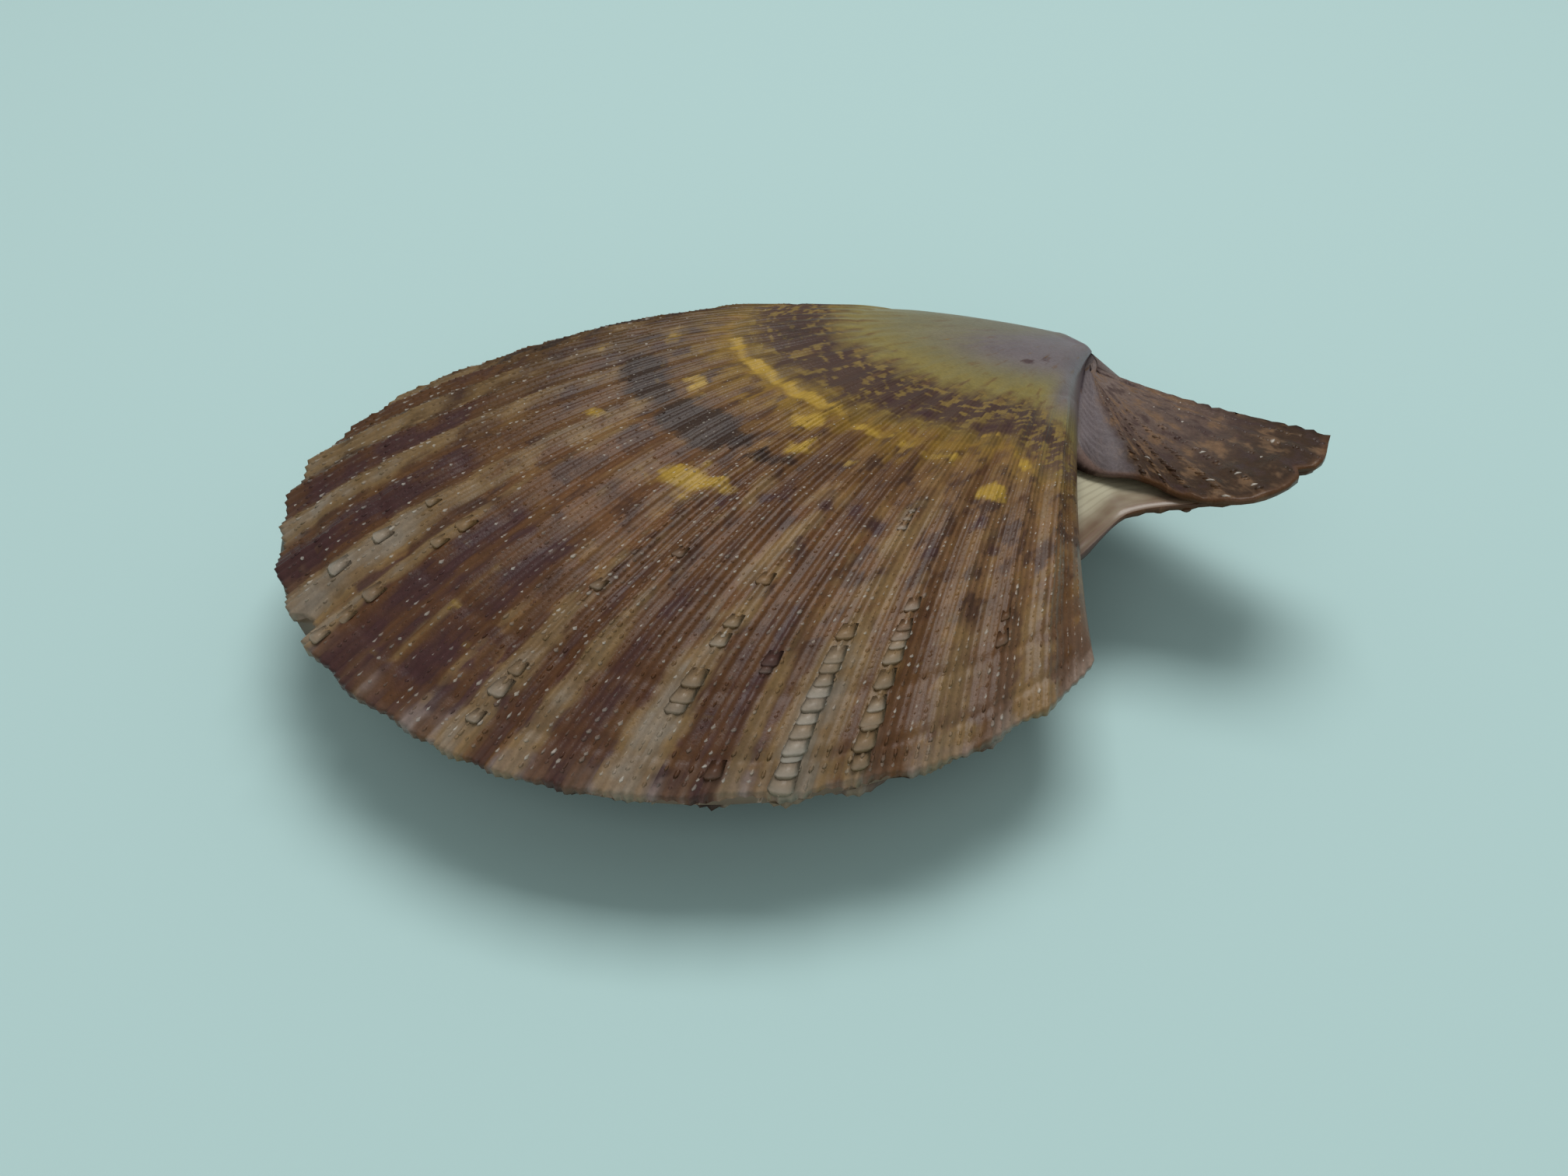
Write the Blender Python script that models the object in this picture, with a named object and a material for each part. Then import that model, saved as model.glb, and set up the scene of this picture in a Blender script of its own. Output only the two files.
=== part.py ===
"""A pair of squamose scallop valves, closed and lying on the belly of the left valve.

The shell frame has its origin at the beaks: +X runs forward along the hinge line, -Y down to the
ventral margin and +Z out through the right valve. Each valve is a sheet worked out on a grid of
rays (ribs) and growth lines, closed by a twin sheet on its inner side. Lengths are in metres.
"""

import bmesh
import bpy
import numpy as np
from mathutils import Euler, Vector

MM = 0.001

# Disc outline: a superellipse, sheared along the hinge, seen from the beak
DISC_HALF_LENGTH = 22.8 * MM
DISC_HALF_HEIGHT = 21.4 * MM
DISC_CENTRE_FORWARD = 4.0 * MM
DISC_CENTRE_DOWN = 33.6 * MM
SHELL_HEIGHT = DISC_CENTRE_DOWN + DISC_HALF_HEIGHT
DISC_SHEAR = -0.1127
DISC_SQUARENESS = 2.1
FLANK_BEHIND = np.radians(-39.2)
FLANK_AHEAD = np.radians(41.9)
FLANK_NARROWING = 0.15

# Inflation: growth lines turn about the hinge line as the valve grows
TURN_RIGHT = 0.503
TURN_LEFT = 0.505
TURN_EASE_RIGHT = 1.22
TURN_EASE_LEFT = 1.05
SHOULDER_WIDTH = np.radians(6.5)
INNER_SHOULDER_WIDTH = np.radians(15.0)
SHOULDER_ROUNDNESS = 2.6
BEAK_LEAN = 0.9 * MM
BEAK_LEAN_FADE = 8.0

# Walls and the line where the valves meet
WALL = 0.75 * MM
EDGE_THICKNESS = 0.3 * MM
EDGE_SHELF = 0.9 * MM
INNER_FLATTENING = 0.05
GAP = 0.3 * MM
LEFT_DRAWN_BACK = 1.35 * MM
CAVITY_START = 0.14

# Ribs, one crest for each whole number of the rib phase
RIB_PITCH = np.radians(3.6)
RIB_START = np.radians(2.0)
RIB_SHIFT = np.radians(1.7)
RIB_SHIFT_AT = np.radians(2.5)
RIB_SHIFT_WIDTH = np.radians(6.0)
RIB_HEIGHT = 0.30 * MM
RIB_SCALLOP = 0.15 * MM
RIBS_BEHIND = 11.25
RIBS_AHEAD = 11.0
COLUMNS_PER_RIB = 4

# Growth rows from beak to margin, as a share of full growth
GROWTH = np.array([0.06, 0.10, 0.16, 0.25, 0.32, 0.39, 0.50, 0.62, 0.73, 0.84, 0.93, 1.0])
RIGHT_NOTCH_ROW = 5
BACK_EAR_ROW = 6
LEFT_NOTCH_ROW = 8

# Ears: outlines run from the disc flank to the hinge line, in millimetres forward and down
HINGE_DROP = 3.0 * MM
BEAK_PROUD = 1.7 * MM
BEAK_DEPTH = 1.2 * MM
EAR_CENTRE_FORWARD = 0.65 * MM
EAR_WALL = 0.5 * MM
EAR_COLUMNS = 6
RIGHT_FRONT_EAR = [(12.2, -12.1), (15.2, -12.1), (18.7, -12.6), (21.9, -10.0), (21.8, -5.3), (20.5, -2.6)]
LEFT_FRONT_EAR = [(15.9, -16.6), (16.6, -14.4), (18.3, -12.5), (20.8, -9.8), (21.4, -5.6), (20.2, -2.6)]
BACK_EAR = [(-11.0, -11.8), (-11.3, -10.2), (-11.4, -8.5), (-11.1, -6.7), (-10.2, -4.8), (-8.4, -3.1)]
EAR_RISE = 3.3 * MM
EAR_RISE_REACH = 20.6 * MM
EAR_RISE_POWER = 1.8
EAR_RISE_START = 0.28
EAR_FALL = 1.6 * MM
EAR_FALL_REACH = 11.0 * MM
EAR_FALL_POWER = 1.2
HINGE_GROOVE = 0.25 * MM

# Ligament: the dried band that holds the valves along the hinge
LIGAMENT_BACK = -6.0 * MM
LIGAMENT_FRONT = 13.0 * MM
LIGAMENT_STATIONS = 13
LIGAMENT_DEPTH = 0.15 * MM
LIGAMENT_PROUD = 0.25 * MM
LIGAMENT_THICKNESS = 0.26 * MM
PAD_WIDTH = 1.4 * MM
PAD_DEPTH = 0.4 * MM

# Lie of the shell: tilt, the beaks' place in the part's frame, and the worn spot it rests on
PITCH = np.radians(1.2)
ROLL = np.radians(0.6)
BEAK_PLACE = Vector((-0.25 * MM, 28.22 * MM, 7.63 * MM))
SPOT_CENTRE = (0.0 * MM, -28.3 * MM)
SPOT_SMOOTHED = 8.0 * MM

# Materials: colour, roughness
SHELL_BROWN = (0.216, 0.102, 0.045, 1.0)
SHELL_DARK = (0.120, 0.048, 0.028, 1.0)
LIGAMENT_BLACK = (0.020, 0.011, 0.007, 1.0)


def clear_scene():
    for obj in list(bpy.data.objects):
        bpy.data.objects.remove(obj, do_unlink=True)


def material(name, colour, roughness):
    made = bpy.data.materials.new(name)
    made.use_nodes = True
    shader = made.node_tree.nodes["Principled BSDF"]
    shader.inputs["Base Color"].default_value = colour
    shader.inputs["Roughness"].default_value = roughness
    shader.inputs["Metallic"].default_value = 0.0
    return made


def smooth_step(low, high, value):
    share = np.clip((value - low) / (high - low), 0.0, 1.0)
    return share * share * (3.0 - 2.0 * share)


def disc_radius(ray):
    """Distance from beak to margin along each ray: the far side of the sheared superellipse."""
    turn = np.linspace(0.0, 2.0 * np.pi, 1441)
    across = np.sign(np.cos(turn)) * np.abs(np.cos(turn)) ** (2.0 / DISC_SQUARENESS)
    along = np.sign(np.sin(turn)) * np.abs(np.sin(turn)) ** (2.0 / DISC_SQUARENESS)
    down = DISC_CENTRE_DOWN + DISC_HALF_HEIGHT * along
    forward = DISC_CENTRE_FORWARD + DISC_HALF_LENGTH * across + DISC_SHEAR * down
    angle = np.arctan2(forward, down)
    far_side = np.gradient(angle) < 0.0
    order = np.argsort(angle[far_side])
    return np.interp(ray, angle[far_side][order], np.hypot(forward, down)[far_side][order])


def rib_ray(phase):
    """Angle of the ray at each rib phase: even spacing, with a few ribs pushed forward near the middle."""
    even = RIB_START + RIB_PITCH * phase
    return even + RIB_SHIFT * np.exp(-(((even - RIB_SHIFT_AT) / RIB_SHIFT_WIDTH) ** 2))


def disc_columns():
    """Rib phase and ray angle of every column of the disc, from the hind flank to the fore flank."""
    steps = np.arange(-RIBS_BEHIND, RIBS_AHEAD + 0.5 / COLUMNS_PER_RIB, 1.0 / COLUMNS_PER_RIB)
    ray = np.concatenate([[FLANK_BEHIND], rib_ray(steps), [FLANK_AHEAD]])
    phase = np.concatenate([[steps[0]], steps, [steps[-1]]])
    return phase, ray


def shoulder(ray, width):
    """Share of the dome's height left at each ray: 1 over the disc, falling round to 0 at both flanks."""
    behind = np.clip((FLANK_BEHIND + width - ray) / width, 0.0, 1.0)
    ahead = np.clip((ray - FLANK_AHEAD + width) / width, 0.0, 1.0)
    reach = np.maximum(behind, ahead)
    return (1.0 - reach**SHOULDER_ROUNDNESS) ** (1.0 / SHOULDER_ROUNDNESS)


def disc_points(ray, growth, turning, width, drawn_back):
    """Grid of the disc: each growth line is the outline scaled down and turned about the hinge line."""
    ray_grid, growth_grid = np.meshgrid(ray, growth)
    radius = growth_grid * disc_radius(ray_grid) - drawn_back * growth_grid**4
    bent = ray_grid * (1.0 - FLANK_NARROWING * (1.0 - growth_grid))
    rate, ease = turning
    turn = rate * (1.0 - growth_grid**ease) / ease
    forward = radius * np.sin(bent) + BEAK_LEAN * (1.0 - growth_grid) ** BEAK_LEAN_FADE
    down = radius * np.cos(bent) * np.cos(turn)
    height = radius * np.cos(bent) * np.sin(turn) * shoulder(ray_grid, width)
    return np.stack([forward, -down, height], axis=-1)


def outer_disc(turning, drawn_back, smoothed_spot):
    """Outside of the disc, with its ribs raised along the surface normal and scalloping the margin."""
    phase, ray = disc_columns()
    points = disc_points(ray, GROWTH, turning, SHOULDER_WIDTH, drawn_back)
    normal = np.cross(np.gradient(points, axis=1), np.gradient(points, axis=0))
    normal /= -np.linalg.norm(normal, axis=-1, keepdims=True)
    wave = 0.5 + 0.5 * np.cos(2.0 * np.pi * phase)
    grown = smooth_step(0.25, 0.65, GROWTH)[:, None]
    inside = np.minimum(ray - FLANK_BEHIND, FLANK_AHEAD - ray)
    relief = RIB_HEIGHT * wave * grown * smooth_step(0.0, RIB_PITCH, inside)
    if smoothed_spot:
        away = np.hypot(points[..., 0] - SPOT_CENTRE[0], points[..., 1] - SPOT_CENTRE[1])
        relief = relief * smooth_step(0.5 * SPOT_SMOOTHED, SPOT_SMOOTHED, away)
    points = points + normal * relief[..., None]
    outward = points[..., :2] / np.linalg.norm(points[..., :2], axis=-1, keepdims=True)
    points[-1, :, :2] += outward[-1] * (RIB_SCALLOP * (wave - 0.5))[:, None]
    points[..., 2] += 0.5 * GAP + EDGE_THICKNESS
    return points


def inner_disc(turning, drawn_back):
    """Inside of the disc: the same rays and rows, drawn in by the wall at the flanks and lower down."""
    _, ray = disc_columns()
    growth = CAVITY_START + (1.0 - CAVITY_START) * (GROWTH - GROWTH[0]) / (1.0 - GROWTH[0])
    growth = growth * (1.0 - EDGE_SHELF / SHELL_HEIGHT)
    points = disc_points(ray, growth, turning, INNER_SHOULDER_WIDTH, drawn_back)
    flank = np.where(ray > 0.0, FLANK_AHEAD, FLANK_BEHIND)
    drawn_in = WALL * ray / flank
    points[..., 0] -= np.sign(ray) * drawn_in * np.cos(flank)
    points[..., 1] -= drawn_in * np.abs(np.sin(flank))
    lowered = (1.0 - INNER_FLATTENING) * points[..., 2] - (WALL - EDGE_THICKNESS)
    points[..., 2] = 0.5 * GAP + np.clip(lowered, 0.0, None)
    return points


def ear_points(foot_line, outline, height, margin_height, groove):
    """Grid of an ear: its free edge scaled down towards the beak, row by row, out to the hinge line."""
    edge = np.array(outline) * MM
    share = np.arange(1, EAR_COLUMNS + 1) / EAR_COLUMNS
    centre = np.stack([np.full(EAR_COLUMNS, EAR_CENTRE_FORWARD), -HINGE_DROP * share], axis=-1)
    reach = np.linalg.norm(foot_line[:, :2] - centre[0], axis=1)
    scale = (reach / reach[-1])[:, None, None]
    flat = centre + scale * (edge - centre)
    raised = np.full(flat.shape[:2], height)
    raised[-1] = margin_height
    raised[:, -1] += groove
    return np.concatenate([flat, raised[..., None]], axis=-1)


def hinge_bend(forward):
    """Height of the hinge line: the pair bends up towards the front ears and down towards the hind ones."""
    ahead = np.clip(forward / EAR_RISE_REACH, 0.0, None)
    behind = np.clip(-forward / EAR_FALL_REACH, 0.0, None)
    return EAR_RISE * ahead**EAR_RISE_POWER - EAR_FALL * behind**EAR_FALL_POWER


def ear_bend(points, share_from_flank):
    """The hinge's bend carried over an ear, easing in from the disc's flank."""
    return hinge_bend(points[..., 0]) * smooth_step(0.0, EAR_RISE_START, share_from_flank)


def valve_sheet(disc, front_outline, front_row, heights, groove, side):
    """Points and grid numbers of one side of a valve: hind ear, disc and front ear in one grid."""
    height = heights[0]
    back_foot = disc[: BACK_EAR_ROW + 1, 0]
    front_foot = disc[: front_row + 1, -1]
    back = ear_points(back_foot, BACK_EAR, *heights, groove)[:, ::-1]
    front = ear_points(front_foot, front_outline, *heights, groove)
    points = disc.copy()
    points[: BACK_EAR_ROW + 1, 0, 2] = height
    points[: front_row + 1, -1, 2] = height
    points[..., 2] *= side
    share = np.arange(1, EAR_COLUMNS + 1) / EAR_COLUMNS
    back[..., 2] = side * back[..., 2] + ear_bend(back, share[None, ::-1])
    front[..., 2] = side * front[..., 2] + ear_bend(front, share[None, :])
    rows, columns = disc.shape[:2]
    grid = np.full((rows, EAR_COLUMNS + columns + EAR_COLUMNS), -1)
    parts = []
    count = 0
    spans = ((back, 0), (points, EAR_COLUMNS), (front, EAR_COLUMNS + columns))
    for block, first_column in spans:
        size = block.shape[0] * block.shape[1]
        numbers = np.arange(count, count + size).reshape(block.shape[:2])
        grid[: block.shape[0], first_column : first_column + block.shape[1]] = numbers
        parts.append(block.reshape(-1, 3))
        count += size
    return np.concatenate(parts), grid


def sheet_faces(grid, apex):
    """Quads of every whole cell, and a fan from the beak to the first row."""
    corners = np.stack([grid[:-1, :-1], grid[:-1, 1:], grid[1:, 1:], grid[1:, :-1]], axis=-1).reshape(-1, 4)
    quads = corners[(corners >= 0).all(axis=1)]
    fan = [(apex, second, first) for first, second in zip(grid[0, :-1], grid[0, 1:])]
    return [tuple(quad) for quad in quads] + fan


def open_edges(faces):
    """Edges that only one face uses, in that face's direction."""
    edges = [(face[k], face[(k + 1) % len(face)]) for face in faces for k in range(len(face))]
    known = set(edges)
    return [edge for edge in edges if (edge[1], edge[0]) not in known]


def place(points):
    """Turns shell-frame points to the tilt at rest and carries the beaks to their place."""
    turn = np.array(Euler((PITCH, ROLL, 0.0)).to_matrix())
    return points @ turn.T + np.array(BEAK_PLACE)


def rest_on_spot(mesh):
    """Wears the lowest ribs off flat at the level of the surface that the shell rests on."""
    geometry = mesh.verts[:] + mesh.edges[:] + mesh.faces[:]
    bmesh.ops.bisect_plane(
        mesh, geom=geometry, plane_co=(0, 0, 0), plane_no=(0, 0, -1), clear_outer=True
    )
    rim = [edge for edge in mesh.edges if edge.is_boundary]
    bmesh.ops.contextual_create(mesh, geom=rim)


def face_outwards(mesh):
    """Makes the faces agree, then turns them all round if the volume they enclose comes out negative."""
    bmesh.ops.recalc_face_normals(mesh, faces=mesh.faces[:])
    if mesh.calc_volume(signed=True) < 0.0:
        bmesh.ops.reverse_faces(mesh, faces=mesh.faces[:])


def add_object(name, points, faces, finish, cut_flat=False):
    mesh = bmesh.new()
    verts = [mesh.verts.new(point) for point in place(points)]
    for face in faces:
        mesh.faces.new([verts[number] for number in face])
    if cut_flat:
        rest_on_spot(mesh)
    face_outwards(mesh)
    data = bpy.data.meshes.new(name)
    mesh.to_mesh(data)
    mesh.free()
    data.materials.append(finish)
    data.shade_smooth()
    data.set_sharp_from_angle(angle=np.radians(40.0))
    obj = bpy.data.objects.new(name, data)
    bpy.context.scene.collection.objects.link(obj)
    return obj


def build_valve(name, side, turning, drawn_back, front_outline, front_row, finish):
    lying_below = side < 0
    outer_heights = (0.5 * GAP + EAR_WALL, 0.5 * GAP + EDGE_THICKNESS)
    inner_heights = (0.5 * GAP, 0.5 * GAP)
    outside_disc = outer_disc(turning, drawn_back, lying_below)
    inside_disc = inner_disc(turning, drawn_back)
    outer, grid = valve_sheet(outside_disc, front_outline, front_row, outer_heights, HINGE_GROOVE, side)
    inner, _ = valve_sheet(inside_disc, front_outline, front_row, inner_heights, HINGE_GROOVE, side)
    outer_beak = [(BEAK_LEAN, BEAK_PROUD - HINGE_DROP, side * (0.5 * GAP + EAR_WALL + HINGE_GROOVE))]
    inner_beak = [(BEAK_LEAN, -HINGE_DROP - BEAK_DEPTH, side * (0.5 * GAP + HINGE_GROOVE))]
    outer = np.concatenate([outer, outer_beak])
    inner = np.concatenate([inner, inner_beak])
    count = len(outer)
    outside = sheet_faces(grid, count - 1)
    inside = [tuple(number + count for number in reversed(face)) for face in outside]
    rim = [(b, a, a + count, b + count) for a, b in open_edges(outside)]
    return add_object(
        name, np.concatenate([outer, inner]), outside + inside + rim, finish, cut_flat=lying_below
    )


def build_ligament(finish):
    """Thin strip in the groove between the ears' hinge edges, with a pad between the beaks."""
    forward = np.linspace(LIGAMENT_BACK, LIGAMENT_FRONT, LIGAMENT_STATIONS)
    forward[np.argmin(np.abs(forward))] = 0.0
    end = np.minimum(forward - LIGAMENT_BACK, LIGAMENT_FRONT - forward)
    taper = 0.5 + 0.5 * smooth_step(0.0, 3.0 * MM, end)
    pad = np.exp(-(((forward - BEAK_LEAN) / PAD_WIDTH) ** 2))
    rise = hinge_bend(forward)
    back = -HINGE_DROP + LIGAMENT_PROUD * taper + PAD_DEPTH * pad
    front = -HINGE_DROP - LIGAMENT_DEPTH * taper
    thick = LIGAMENT_THICKNESS * taper * (1.0 + 0.3 * pad)
    section = [(back, thick), (back, -thick), (front, -0.5 * thick), (front, 0.5 * thick)]
    points = np.stack([np.stack([forward, y, rise + z], axis=-1) for y, z in section], axis=1)
    faces = []
    for station in range(LIGAMENT_STATIONS - 1):
        for corner in range(4):
            after = (corner + 1) % 4
            low = 4 * station
            faces.append((low + corner, low + after, low + 4 + after, low + 4 + corner))
    last = 4 * (LIGAMENT_STATIONS - 1)
    faces += [(3, 2, 1, 0), (last, last + 1, last + 2, last + 3)]
    return add_object("hinge_ligament", points.reshape(-1, 3), faces, finish)


def main():
    clear_scene()
    brown = material("worn_calcite_brown", SHELL_BROWN, 0.5)
    dark = material("worn_calcite_dark", SHELL_DARK, 0.5)
    black = material("dried_ligament", LIGAMENT_BLACK, 0.6)
    right_turning = (TURN_RIGHT, TURN_EASE_RIGHT)
    left_turning = (TURN_LEFT, TURN_EASE_LEFT)
    build_valve("right_valve", 1.0, right_turning, 0.0, RIGHT_FRONT_EAR, RIGHT_NOTCH_ROW, brown)
    build_valve("left_valve", -1.0, left_turning, LEFT_DRAWN_BACK, LEFT_FRONT_EAR, LEFT_NOTCH_ROW, dark)
    build_ligament(black)


main()
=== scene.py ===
# %% [markdown]
# # A squamose scallop, closed
# A scallop shell grows by adding thin lines of calcite at its edge. Two simple laws give nearly its
# whole shape: ribs run along rays from the beak, and every growth line is the outline of the shell
# when it was younger. This lesson builds both valves from those two laws, adds the riblets and the
# thousands of little scales that give the shell its name, and then paints the bands and rays.

# %% Frame
from functools import partial

import bpy
import numpy as np
from mathutils import Euler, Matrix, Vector


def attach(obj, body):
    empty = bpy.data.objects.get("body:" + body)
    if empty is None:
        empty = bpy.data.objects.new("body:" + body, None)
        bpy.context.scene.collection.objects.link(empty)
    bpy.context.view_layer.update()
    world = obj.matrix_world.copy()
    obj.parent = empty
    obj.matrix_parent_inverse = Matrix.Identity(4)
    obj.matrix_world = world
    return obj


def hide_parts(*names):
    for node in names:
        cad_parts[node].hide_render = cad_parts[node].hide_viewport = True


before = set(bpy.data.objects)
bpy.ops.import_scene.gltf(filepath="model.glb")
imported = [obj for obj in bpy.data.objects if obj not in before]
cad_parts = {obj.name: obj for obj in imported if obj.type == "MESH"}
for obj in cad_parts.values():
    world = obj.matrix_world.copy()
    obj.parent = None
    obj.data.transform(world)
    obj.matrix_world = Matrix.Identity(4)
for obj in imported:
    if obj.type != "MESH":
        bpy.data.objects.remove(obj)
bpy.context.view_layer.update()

# %% [markdown]
# ## The camera, first
# The photograph looks down at the shell from in front of its longer ears, from about ten
# centimetres away. A camera this close makes the near margin look large, so its place matters more
# than its lens. Place and lens were worked out from the margin, the hinge and the growth bands.

# %% Camera
MM = 0.001
CAMERA_PLACE = (61.62 * MM, -54.10 * MM, 62.22 * MM)
CAMERA_TURN = (53.26, -1.02, 48.63)
FOCAL_PIXELS = 2177.3
FRAME_PIXELS = 2016
SENSOR = 36.0


def add_object(name, data):
    """Object for the data, linked to the scene."""
    obj = bpy.data.objects.new(name, data)
    bpy.context.scene.collection.objects.link(obj)
    return obj


def add_camera():
    data = bpy.data.cameras.new("view")
    data.sensor_width = SENSOR
    data.lens = FOCAL_PIXELS * SENSOR / FRAME_PIXELS
    data.clip_start = 1.0 * MM
    data.clip_end = 10.0
    camera = add_object("view", data)
    camera.location = CAMERA_PLACE
    camera.rotation_euler = [np.radians(angle) for angle in CAMERA_TURN]
    bpy.context.scene.camera = camera
    return camera


print("lens mm", round(add_camera().data.lens, 2))

# %% [markdown]
# ## The growth law
# The shell frame has its origin at the beaks: X runs forward along the hinge, -Y down to the
# margin and Z out through the upper valve. A point is known by its ray (the angle from straight
# down) and its growth (0 at the beak, 1 at the margin). The outline is the far side of a sheared
# superellipse seen from the beak. Each younger outline is turned a little more about the hinge,
# and that turning makes the dome. A spun or sculpted dome would have no such lines to follow.

# %% Outline and dome
DISC_HALF_LENGTH = 22.8 * MM
DISC_HALF_HEIGHT = 21.4 * MM
DISC_CENTRE_FORWARD = 4.0 * MM
DISC_CENTRE_DOWN = 33.6 * MM
SHELL_HEIGHT = DISC_CENTRE_DOWN + DISC_HALF_HEIGHT
DISC_SHEAR = -0.1127
DISC_SQUARENESS = 2.1
FLANK_BEHIND = np.radians(-39.2)
FLANK_AHEAD = np.radians(41.9)
FLANK_NARROWING = 0.15
SHOULDER_WIDTH = np.radians(6.5)
INNER_SHOULDER_WIDTH = np.radians(15.0)
SHOULDER_ROUNDNESS = 2.6
UMBO_ROUNDING = 2.4
UMBO_GROWTH = 0.4
BEAK_LEAN = 1.15 * MM
BEAK_LEAN_FADE = 7.0


def unit(vectors):
    return vectors / np.linalg.norm(vectors, axis=-1, keepdims=True)


def smooth_step(low, high, value):
    """0 below low, 1 above high, and the S-shaped cubic between them."""
    share = np.clip((value - low) / (high - low), 0.0, 1.0)
    return share * share * (3.0 - 2.0 * share)


def disc_radius(ray):
    """Distance from beak to margin on each ray: the far side of the sheared superellipse."""
    turn = np.linspace(0.0, 2.0 * np.pi, 1441)
    across = np.sign(np.cos(turn)) * np.abs(np.cos(turn)) ** (2.0 / DISC_SQUARENESS)
    along = np.sign(np.sin(turn)) * np.abs(np.sin(turn)) ** (2.0 / DISC_SQUARENESS)
    down = DISC_CENTRE_DOWN + DISC_HALF_HEIGHT * along
    forward = DISC_CENTRE_FORWARD + DISC_HALF_LENGTH * across + DISC_SHEAR * down
    angle = np.arctan2(forward, down)
    far_side = np.gradient(angle) < 0.0
    order = np.argsort(angle[far_side])
    return np.interp(ray, angle[far_side][order], np.hypot(forward, down)[far_side][order])


def shoulder(ray, width):
    """Share of the dome's height left at each ray: 1 over the disc, rounding to 0 at both flanks."""
    behind = np.clip((FLANK_BEHIND + width - ray) / width, 0.0, 1.0)
    ahead = np.clip((ray - FLANK_AHEAD + width) / width, 0.0, 1.0)
    return (1.0 - np.maximum(behind, ahead) ** SHOULDER_ROUNDNESS) ** (1.0 / SHOULDER_ROUNDNESS)


def disc_points(ray, growth, valve, width):
    """Grid of the dome, from the distance r to the beak and the turn about the hinge.

    x = r sin(ray), y = -r cos(ray) cos(turn), z = r cos(ray) sin(turn) times the shoulder.
    """
    rate, ease = valve["turning"]
    radius = growth * disc_radius(ray) - valve["drawn_back"] * growth**4
    bent = ray * (1.0 - FLANK_NARROWING * (1.0 - growth))
    turn = rate * (1.0 - growth**ease) / ease
    forward = radius * np.sin(bent) + BEAK_LEAN * (1.0 - growth) ** BEAK_LEAN_FADE
    down = radius * np.cos(bent) * np.cos(turn)
    height = radius * np.cos(bent) * np.sin(turn) * shoulder(ray, width)
    return np.stack([forward, -down, height], axis=-1)


print("margin mm at rays -30, 0, 30:", np.round(disc_radius(np.radians([-30, 0, 30])) / MM, 1))

# %% [markdown]
# ## Ribs, riblets and rows
# This shell has about two dozen low main ribs, and each carries six fine riblets half a millimetre
# apart. A grid column follows each riblet's crest, its two sides and the trough beyond it, so four
# columns draw one riblet. Rows follow growth lines and lie closer towards the margin, where the
# scales and teeth are.

# %% Grid of rays and growth lines
RIB_PITCH = np.radians(3.6)
RIB_START = np.radians(2.0)
RIB_SHIFT = np.radians(1.7)
RIB_SHIFT_AT = np.radians(2.5)
RIB_SHIFT_WIDTH = np.radians(6.0)
RIBS_BEHIND = 11.25
RIBS_AHEAD = 11.0
RIBLETS = 6
COLUMNS_PER_RIBLET = 4
COLUMNS_PER_RIB = RIBLETS * COLUMNS_PER_RIBLET
FLANK_COLUMNS = 5
ROWS = 144
FIRST_GROWTH = 0.06
ROW_CROWDING = 1.12


def rib_ray(phase):
    """Ray at each rib phase: even spacing, with a few ribs pushed forward near the middle."""
    even = RIB_START + RIB_PITCH * phase
    return even + RIB_SHIFT * np.exp(-(((even - RIB_SHIFT_AT) / RIB_SHIFT_WIDTH) ** 2))


def grid_columns():
    """Rib phase and ray of each column, with a quarter cosine of columns round each flank."""
    phase = np.arange(-int(RIBS_BEHIND * COLUMNS_PER_RIB), int(RIBS_AHEAD * COLUMNS_PER_RIB) + 1)
    phase = phase / COLUMNS_PER_RIB
    ray = rib_ray(phase)
    quarter = np.sin(0.5 * np.pi * np.arange(1, FLANK_COLUMNS + 1) / FLANK_COLUMNS)
    behind = ((FLANK_BEHIND - ray[0]) * quarter)[::-1]
    ahead = (FLANK_AHEAD - ray[-1]) * quarter
    all_phases = np.concatenate([phase[0] + behind / RIB_PITCH, phase, phase[-1] + ahead / RIB_PITCH])
    return all_phases, np.concatenate([ray[0] + behind, ray, ray[-1] + ahead])


PHASE, RAY = grid_columns()
GROWTH = 1.0 - (1.0 - FIRST_GROWTH) * (1.0 - np.linspace(0.0, 1.0, ROWS)) ** ROW_CROWDING
print("grid", len(RAY), "columns x", len(GROWTH), "rows; last row step mm",
      round((GROWTH[-2] - GROWTH[-3]) * SHELL_HEIGHT / MM, 2))

# %% [markdown]
# ## Relief
# Everything that stands up from the smooth dome is one height added along the surface normal: the
# broad main ribs, the riblets with narrow crests, shallow grooves where growth stopped for a
# season, and a slow unevenness that keeps the dome from looking turned on a lathe. Each riblet gets
# its own strength from a seeded generator, because no two are alike. Real geometry is chosen over a
# bump map, because the low light catches every riblet.

# %% Height of ribs, riblets and growth stops
RIB_HEIGHT = 0.30 * MM
RIB_FADE = (0.25, 0.65)
RIBLET_HEIGHT = 0.065 * MM
RIBLET_FADE = (0.30, 0.62)
CREST_RIBLET_HEIGHT = 0.10 * MM
RIBLET_NARROWNESS = 1.1
RIBLET_DRAWS = 400
UNEVENNESS = 0.07 * MM
UMBO_FULLNESS = 0.28 * MM
GROWTH_STOPS = [(0.335, 0.05), (0.492, 0.06), (0.62, 0.05), (0.80, 0.04), (0.886, 0.08), (0.957, 0.09)]
STOP_WIDTH = 0.006


def riblet_wave(phase):
    """1 on each riblet's crest and 0 in the troughs: a cosine squared, narrowed by a power."""
    return (np.cos(np.pi * RIBLETS * phase) ** 2) ** RIBLET_NARROWNESS


def riblet_draw(phase, low, high, seed):
    """Number of the riblet that each column belongs to, and that riblet's own random factor."""
    number = np.round(phase * RIBLETS).astype(int)
    drawn = np.random.default_rng(seed).uniform(low, high, RIBLET_DRAWS)
    return number, drawn[number + RIBLET_DRAWS // 2]


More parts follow.
